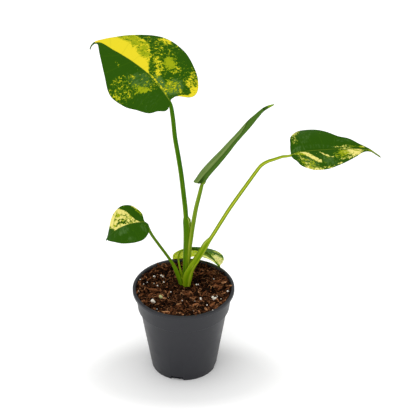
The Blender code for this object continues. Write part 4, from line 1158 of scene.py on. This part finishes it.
def painted(name, along, out):
    """How pale, how lime and how grey each point of a leaf is, stroke over stroke; the grey is partly painted
    sheen.
    """
    marks = np.tile(BARE_MARKS, (len(along), 1))
    if name == "left":
        beyond = past_vein(CREAM_VEIN, along, out)
        cream = CREAM_PALENESS * smooth_step(*SECTOR_EDGE, beyond) * (1 - smooth_step(*CREAM_FADES, along))
        marks[:, 0] += cream * (out < 0)
    for column, channel in enumerate(CHANNELS):
        for place, side, reach, reach_out, slant, amount in STROKES[name][channel]:
            run = (along - place - slant * (out - side)) / reach
            rise = (out - side) / reach_out
            cover = 1 - smooth_step(*STROKE_EDGE, np.hypot(run, rise))
            marks[:, column] = marks[:, column] * (1 - cover) + amount * cover
    return with_yellow_sector(marks, along, out) if name == "top" else marks


MIDRIB_GREEN = (0.2, 0.27, 0.02, 1)
# Where along the flecks' noise the tissue between green and lime starts, then lime, then yellow
MIDDLE_FLECKS = (0.34, 0.44)
LIME_FLECKS = (0.46, 0.53)
YELLOW_FLECKS = (0.56, 0.63)


def leaf_finish(name, dark, grey_green_and_sheen, lime, yellow, middle, rough, glow=0.0):
    """Leaf skin from its painted marks: noises drawn out along the side veins break them into flecks."""
    material, tree = finish(name, Specular_IOR_Level=0.012, Subsurface_Weight=glow,
                            Subsurface_Radius=(1, 1, 0.4), Subsurface_Scale=0.005)
    place = kept(tree, "blade", "Vector")
    pale, limy, grey_and_sheen = add(tree, "SeparateXYZ", kept(tree, "marks", "Vector")).outputs

    def drawn_noise(scale, scale_out, offset, *fineness):
        stretched = add(tree, "Mapping", Vector=place, Location=offset, Scale=(scale, scale_out, 1))
        return speckle(tree, stretched.outputs["Vector"], 1, *fineness)

    def flecked(bias, field, gain):
        return worked(tree, "ADD", bias, mapped(tree, field, 0, 1, -gain / 2, gain / 2))

    flecks = flecked(pale, drawn_noise(0.4, 0.23, (3.1, 7.7, 0), 3, 0.9, 0.4), 2.5)
    streaks = drawn_noise(0.5, 0.13, (1.3, 25.9, 0), 4, 0.7, 0.3)
    # Grey-green tissue, partly standing in for the blade's soft sheen as painted sheen
    greyed_and_sheen = mapped(tree, flecked(grey_and_sheen, streaks, 2.2), 0.4, 1.1)
    lime_noise = drawn_noise(0.22, 0.13, (11.3, 5.9, 0), 4, 0.85, 0.5)
    limed = mapped(tree, flecked(limy, lime_noise, 2.2), 0.42, 0.58)
    colour = blend(tree, greyed_and_sheen, dark, grey_green_and_sheen)
    colour = blend(tree, mapped(tree, flecks, *MIDDLE_FLECKS), colour, middle)
    colour = blend(tree, mapped(tree, flecks, *LIME_FLECKS), colour, lime)
    yellowed = mapped(tree, flecks, *YELLOW_FLECKS)
    colour = blend(tree, yellowed, colour, blend(tree, limed, yellow, lime))
    from_vein = worked(tree, "SUBTRACT", worked(tree, "FRACT", kept(tree, "vein")), 0.5)
    veined = mapped(tree, worked(tree, "ABSOLUTE", from_vein), 0.44, 0.5, 0, 0.12)
    colour = blend(tree, veined, colour, middle)
    colour = blend(tree, mapped(tree, kept(tree, "rib"), 0.4, 0.9, 0, 0.7), colour, MIDRIB_GREEN)
    shade = varied(tree, streaks, 0.74, 1.26)
    wire(tree, Base_Color=add(tree, "VectorMath", colour, operation="SCALE", Scale=shade).outputs["Vector"],
         Roughness=varied(tree, streaks, rough - 0.05, rough + 0.07),
         Normal=bumped(tree, streaks, 0.15, 0.3))
    return material


UPPER_COLOURS = dict(dark=(0.024, 0.085, 0.0022, 1), grey_green_and_sheen=(0.075, 0.16, 0.035, 1),
                     lime=(0.32, 0.38, 0.006, 1), yellow=(0.78, 0.65, 0.022, 1),
                     middle=(0.085, 0.19, 0.004, 1))
CREAMY_COLOURS = dict(UPPER_COLOURS, yellow=(0.86, 0.76, 0.22, 1))
# The back leaf's colours are brighter than the others', painted light for the shade it hangs in, besides the
# light its thin blade lets through
BRIGHTENED_THIN_COLOURS = dict(dark=(0.024, 0.085, 0.0022, 1), grey_green_and_sheen=(0.1, 0.2, 0.06, 1),
                    lime=(0.27, 0.37, 0.02, 1), yellow=(0.98, 0.9, 0.36, 1), middle=(0.15, 0.3, 0.01, 1))
UNDER_COLOURS = dict(dark=(0.075, 0.17, 0.03, 1), grey_green_and_sheen=(0.11, 0.21, 0.06, 1),
                     lime=(0.35, 0.42, 0.06, 1), yellow=(0.66, 0.62, 0.14, 1), middle=(0.16, 0.26, 0.05, 1))
upper_skin = leaf_finish("leaf_skin", **UPPER_COLOURS, rough=0.4)
creamy_skin = leaf_finish("creamy_leaf_skin", **CREAMY_COLOURS, rough=0.4)
brightened_thin_skin = leaf_finish("brightened_thin_leaf_skin", **BRIGHTENED_THIN_COLOURS, rough=0.5, glow=1.0)
under_skin = leaf_finish("leaf_underside", **UNDER_COLOURS, rough=0.55)
# Skin above and below
LEAF_SKINS = {"top": (upper_skin, under_skin), "right": (creamy_skin, under_skin),
              "left": (creamy_skin, under_skin), "back": (brightened_thin_skin, brightened_thin_skin)}

for name, leaf in LEAVES.items():
    mesh, shares = sheet("leaf_" + name, BLADE_ROWS, BLADE_COLUMNS, column_spread,
                         lambda along, out: blade_places(leaf, along, out))
    along, out = shares.T
    half = np.where(out > 0, leaf["left"]["width"], leaf["right"]["width"])
    mesh.shade_smooth()
    give(mesh, "blade", np.stack([along * leaf["length"], out * half, 0 * along], -1))
    give(mesh, "marks", painted(name, along, out))
    give(mesh, "vein", along * VEIN_COUNT)
    across = np.abs(flat_blade(leaf["left"], leaf["drip"], along, np.abs(out))[1] * half)
    give(mesh, "rib", np.exp(-((across / 0.8) ** 2)) * (1 - 0.6 * along))
    blade = shown("leaf_" + name, mesh, *LEAF_SKINS[name])
    weights = np.sqrt(np.clip(1 - (across / MIDRIB_REACH) ** 2, 0, 1)) * (1 - MIDRIB_TAPER * along)
    thicken(blade, weights, BLADE_THICKNESS, MIDRIB_THICKNESS, -1, 1)
    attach(blade, "root")
    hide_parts("blade_" + name)


# Rolled leaf
# The newest leaf, still rolled lengthwise as it grew, with its pale underside outwards.
# Its free edge runs down the front, and its lower lobes stand out round the petiole's end.
ROLL_LINE = ((21.2, 5.2, 255.2), (27.1, 4, 265.4), (37.3, 2.1, 279.9), (47.2, 0.3, 293.9),
             (56.8, -1.5, 308.3), (66.7, -3.4, 322.4), (76.4, -5.4, 336.5), (86.3, -7.3, 350.2),
             (92.6, -8.5, 356.5), (100.6, -10, 361.3))
ROLL_RADIUS = ((0, 6.1), (0.11, 6.2), (0.22, 6.0), (0.33, 5.2), (0.44, 4.3), (0.48, 4.0), (0.63, 3.9),
               (0.67, 3.5), (0.71, 2.9), (0.75, 2.7), (0.78, 2.2), (0.89, 2.05), (0.94, 1.75), (1, 0.8))
ROLL_TURNS = ((0, 1.5), (0.15, 1.58), (0.55, 1.56), (0.62, 1.4), (0.67, 1.05), (0.73, 0.85), (0.85, 0.75),
              (1, 0.6))
# Lower edge of the roll, from the midrib to the free edge: how far each place hangs below the knuckle
ROLL_LOBE = ((-1, 1.5), (-0.5, 5), (-0.28, 4.2), (-0.12, 0.4), (0, 0), (0.14, 0.3), (0.3, 4.6),
             (0.68, 7.6), (0.85, 6.8), (1, 4.0))
ROLL_LOBE_REACH = 0.16
ROLL_THICKNESS = 0.45
ROLL_RIB_THICKNESS = 1.3
ROLL_TIGHTENING = 0.26
ROLL_MIDRIB_TURN = math.radians(280)
ROLL_FRONT = np.array((0, -0.84, 0.54))
ROLL_STEP = 0.01
ROLL_FLAT_LENGTH = 110
ROLL_FLAT_WIDTH = 60
ROLL_TIP_STARTS = (0.905, 0.94)
# Where the painted highlight along the free edge runs, as shares of the width
ROLL_EDGE_HIGHLIGHT_SPAN = (0.93, 1.0)
# Where the painted shade under the free edge ends, as shares of the width
ROLL_COVER_SHADE_ENDS = (0.6, 0.78)
ROLL_RIB_WIDTH = 0.02
ROLL_RIB_TAPER = 0.85
# Painted shade in creases: place and reach along, then the part of its width that each crosses
ROLL_CREASE_SHADES = ((0.86, 0.025, -1, 0.7), (0.91, 0.01, -1, 2), (0.03, 0.05, 0.3, 0.42))
ROLL_ROWS = 150
ROLL_COLUMNS = 150


def roll_places(along, across):
    """Points of the rolled leaf: a sheet wound round a middle line, with its midrib on the right."""
    line = through(ROLL_LINE, along)
    before = np.maximum(along - ROLL_STEP, 0)
    after = np.minimum(along + ROLL_STEP, 1)
    ahead = through(ROLL_LINE, after) - through(ROLL_LINE, before)
    ahead /= np.linalg.norm(ahead, axis=-1, keepdims=True)
    front = ROLL_FRONT - ahead * (ahead @ ROLL_FRONT)[..., None]
    front /= np.linalg.norm(front, axis=-1, keepdims=True)
    left = np.cross(front, ahead)
    turns = ramp(ROLL_TURNS, along)
    wound = turns * (1 - across)
    radius = ramp(ROLL_RADIUS, along) * (1 - ROLL_TIGHTENING * wound)
    turn = ROLL_MIDRIB_TURN + math.tau * (wound - turns / 2)
    lobe = (1 - smooth_step(0, ROLL_LOBE_REACH, along)) * ramp(ROLL_LOBE, 2 * across - 1)
    spot = line + radius[..., None] * (front * np.cos(turn)[..., None] + left * np.sin(turn)[..., None])
    return spot - ahead * lobe[..., None]


# Colours of its underside: darker and paler stripes, painted shade where the free edge covers it and in
# creases, tip, and a painted highlight at the free edge
ROLL_BASE = (0.085, 0.17, 0.025, 1)
ROLL_PALE = (0.18, 0.26, 0.08, 1)
ROLL_COVERED_SHADE = (0.055, 0.135, 0.012, 1)
ROLL_CREASE_SHADE = (0.015, 0.05, 0.002, 1)
ROLL_TIP = (0.2, 0.33, 0.015, 1)
ROLL_EDGE_HIGHLIGHT = (0.2, 0.28, 0.08, 1)
young_skin, tree = finish("young_leaf_skin", Specular_IOR_Level=0.02)
stretched = add(tree, "Mapping", Vector=kept(tree, "blade", "Vector"), Rotation=(0, 0, 0.35),
                Scale=(0.05, 0.9, 1))
stripes = speckle(tree, stretched.outputs["Vector"], 1.0, 5, 0.6)
body = blend(tree, mapped(tree, stripes, 0.4, 0.62), ROLL_BASE, ROLL_PALE)
for name, colour in (("covered_shade", ROLL_COVERED_SHADE), ("crease_shade", ROLL_CREASE_SHADE), ("tip", ROLL_TIP)):
    body = blend(tree, kept(tree, name), body, colour)
body = blend(tree, mapped(tree, kept(tree, "free_edge_highlight"), 0.1, 0.95, 0, 0.6), body, ROLL_EDGE_HIGHLIGHT)
wire(tree, Base_Color=body, Roughness=varied(tree, stripes, 0.42, 0.55),
     Normal=bumped(tree, stripes, 0.2, 0.3))

mesh, shares = sheet("leaf_rolled", ROLL_ROWS, ROLL_COLUMNS, lambda share: share, roll_places)
along, across = shares.T
mesh.shade_smooth()
give(mesh, "blade", np.stack([along * ROLL_FLAT_LENGTH, across * ROLL_FLAT_WIDTH, 0 * along], -1))
# Painted highlight along the free edge
give(mesh, "free_edge_highlight", smooth_step(*ROLL_EDGE_HIGHLIGHT_SPAN, across))
# Painted shade on the layer under the free edge
give(mesh, "covered_shade", 0.9 * (1 - smooth_step(*ROLL_COVER_SHADE_ENDS, across)))
# Painted shade in the creases
crease_shades = 0
for place, reach, low, high in ROLL_CREASE_SHADES:
    crease_shades += np.exp(-(((along - place) / reach) ** 2)) * (across > low) * (across < high)
give(mesh, "crease_shade", 0.85 * np.clip(crease_shades, 0, 1))
give(mesh, "tip", 0.9 * smooth_step(*ROLL_TIP_STARTS, along))
rolled = shown("leaf_rolled", mesh, young_skin)
rib_weight = np.clip(1 - (np.abs(across - 0.5) / ROLL_RIB_WIDTH) ** 2, 0, 1) * (1 - ROLL_RIB_TAPER * along)
thicken(rolled, rib_weight, ROLL_THICKNESS, ROLL_RIB_THICKNESS, 0, 0)
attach(rolled, "root")
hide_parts("blade_rolled")


# Petioles in place
# Each petiole bends at a short knuckle under its blade and runs into the midrib.
# The newest one comes out of the sheath of the one before it.
KNUCKLE_LAP = 1.6
# Where its points lie on the bend at the knuckle
KNUCKLE_SHARES = (0.35, 0.6, 0.8, 1)


def petiole_end(name):
    """Middle of the petiole's upper end, at the start of the midrib, with its direction there."""
    if name == "rolled":
        low, high = roll_places(np.array([0, 0.02]), np.array([0.5, 0.5]))
        return Vector(low), Vector(high - low).normalized()
    leaf = LEAVES[name]
    _, centre, along, _, upward = midrib_frames(leaf)
    return Vector(centre[0]) - Vector(upward[0]) * PETIOLES[name]["under"], Vector(along[0])


for name, petiole in PETIOLES.items():
    end, along = petiole_end(name)
    end += along * KNUCKLE_LAP
    corner = end - along * (petiole["knuckle"] + KNUCKLE_LAP)
    start = Vector(petiole["line"][-1])
    bend = [start * (1 - t) ** 2 + corner * 2 * t * (1 - t) + end * t * t for t in KNUCKLE_SHARES]
    line = petiole["line"] + tuple(tuple(place) for place in bend)
    mesh = stalk_mesh("stalk_" + name, dict(petiole, line=line))
    stalk = shown("stalk_" + name, mesh, STALK_SKINS[name])
    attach(stalk, "root")
    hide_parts("petiole_" + name)
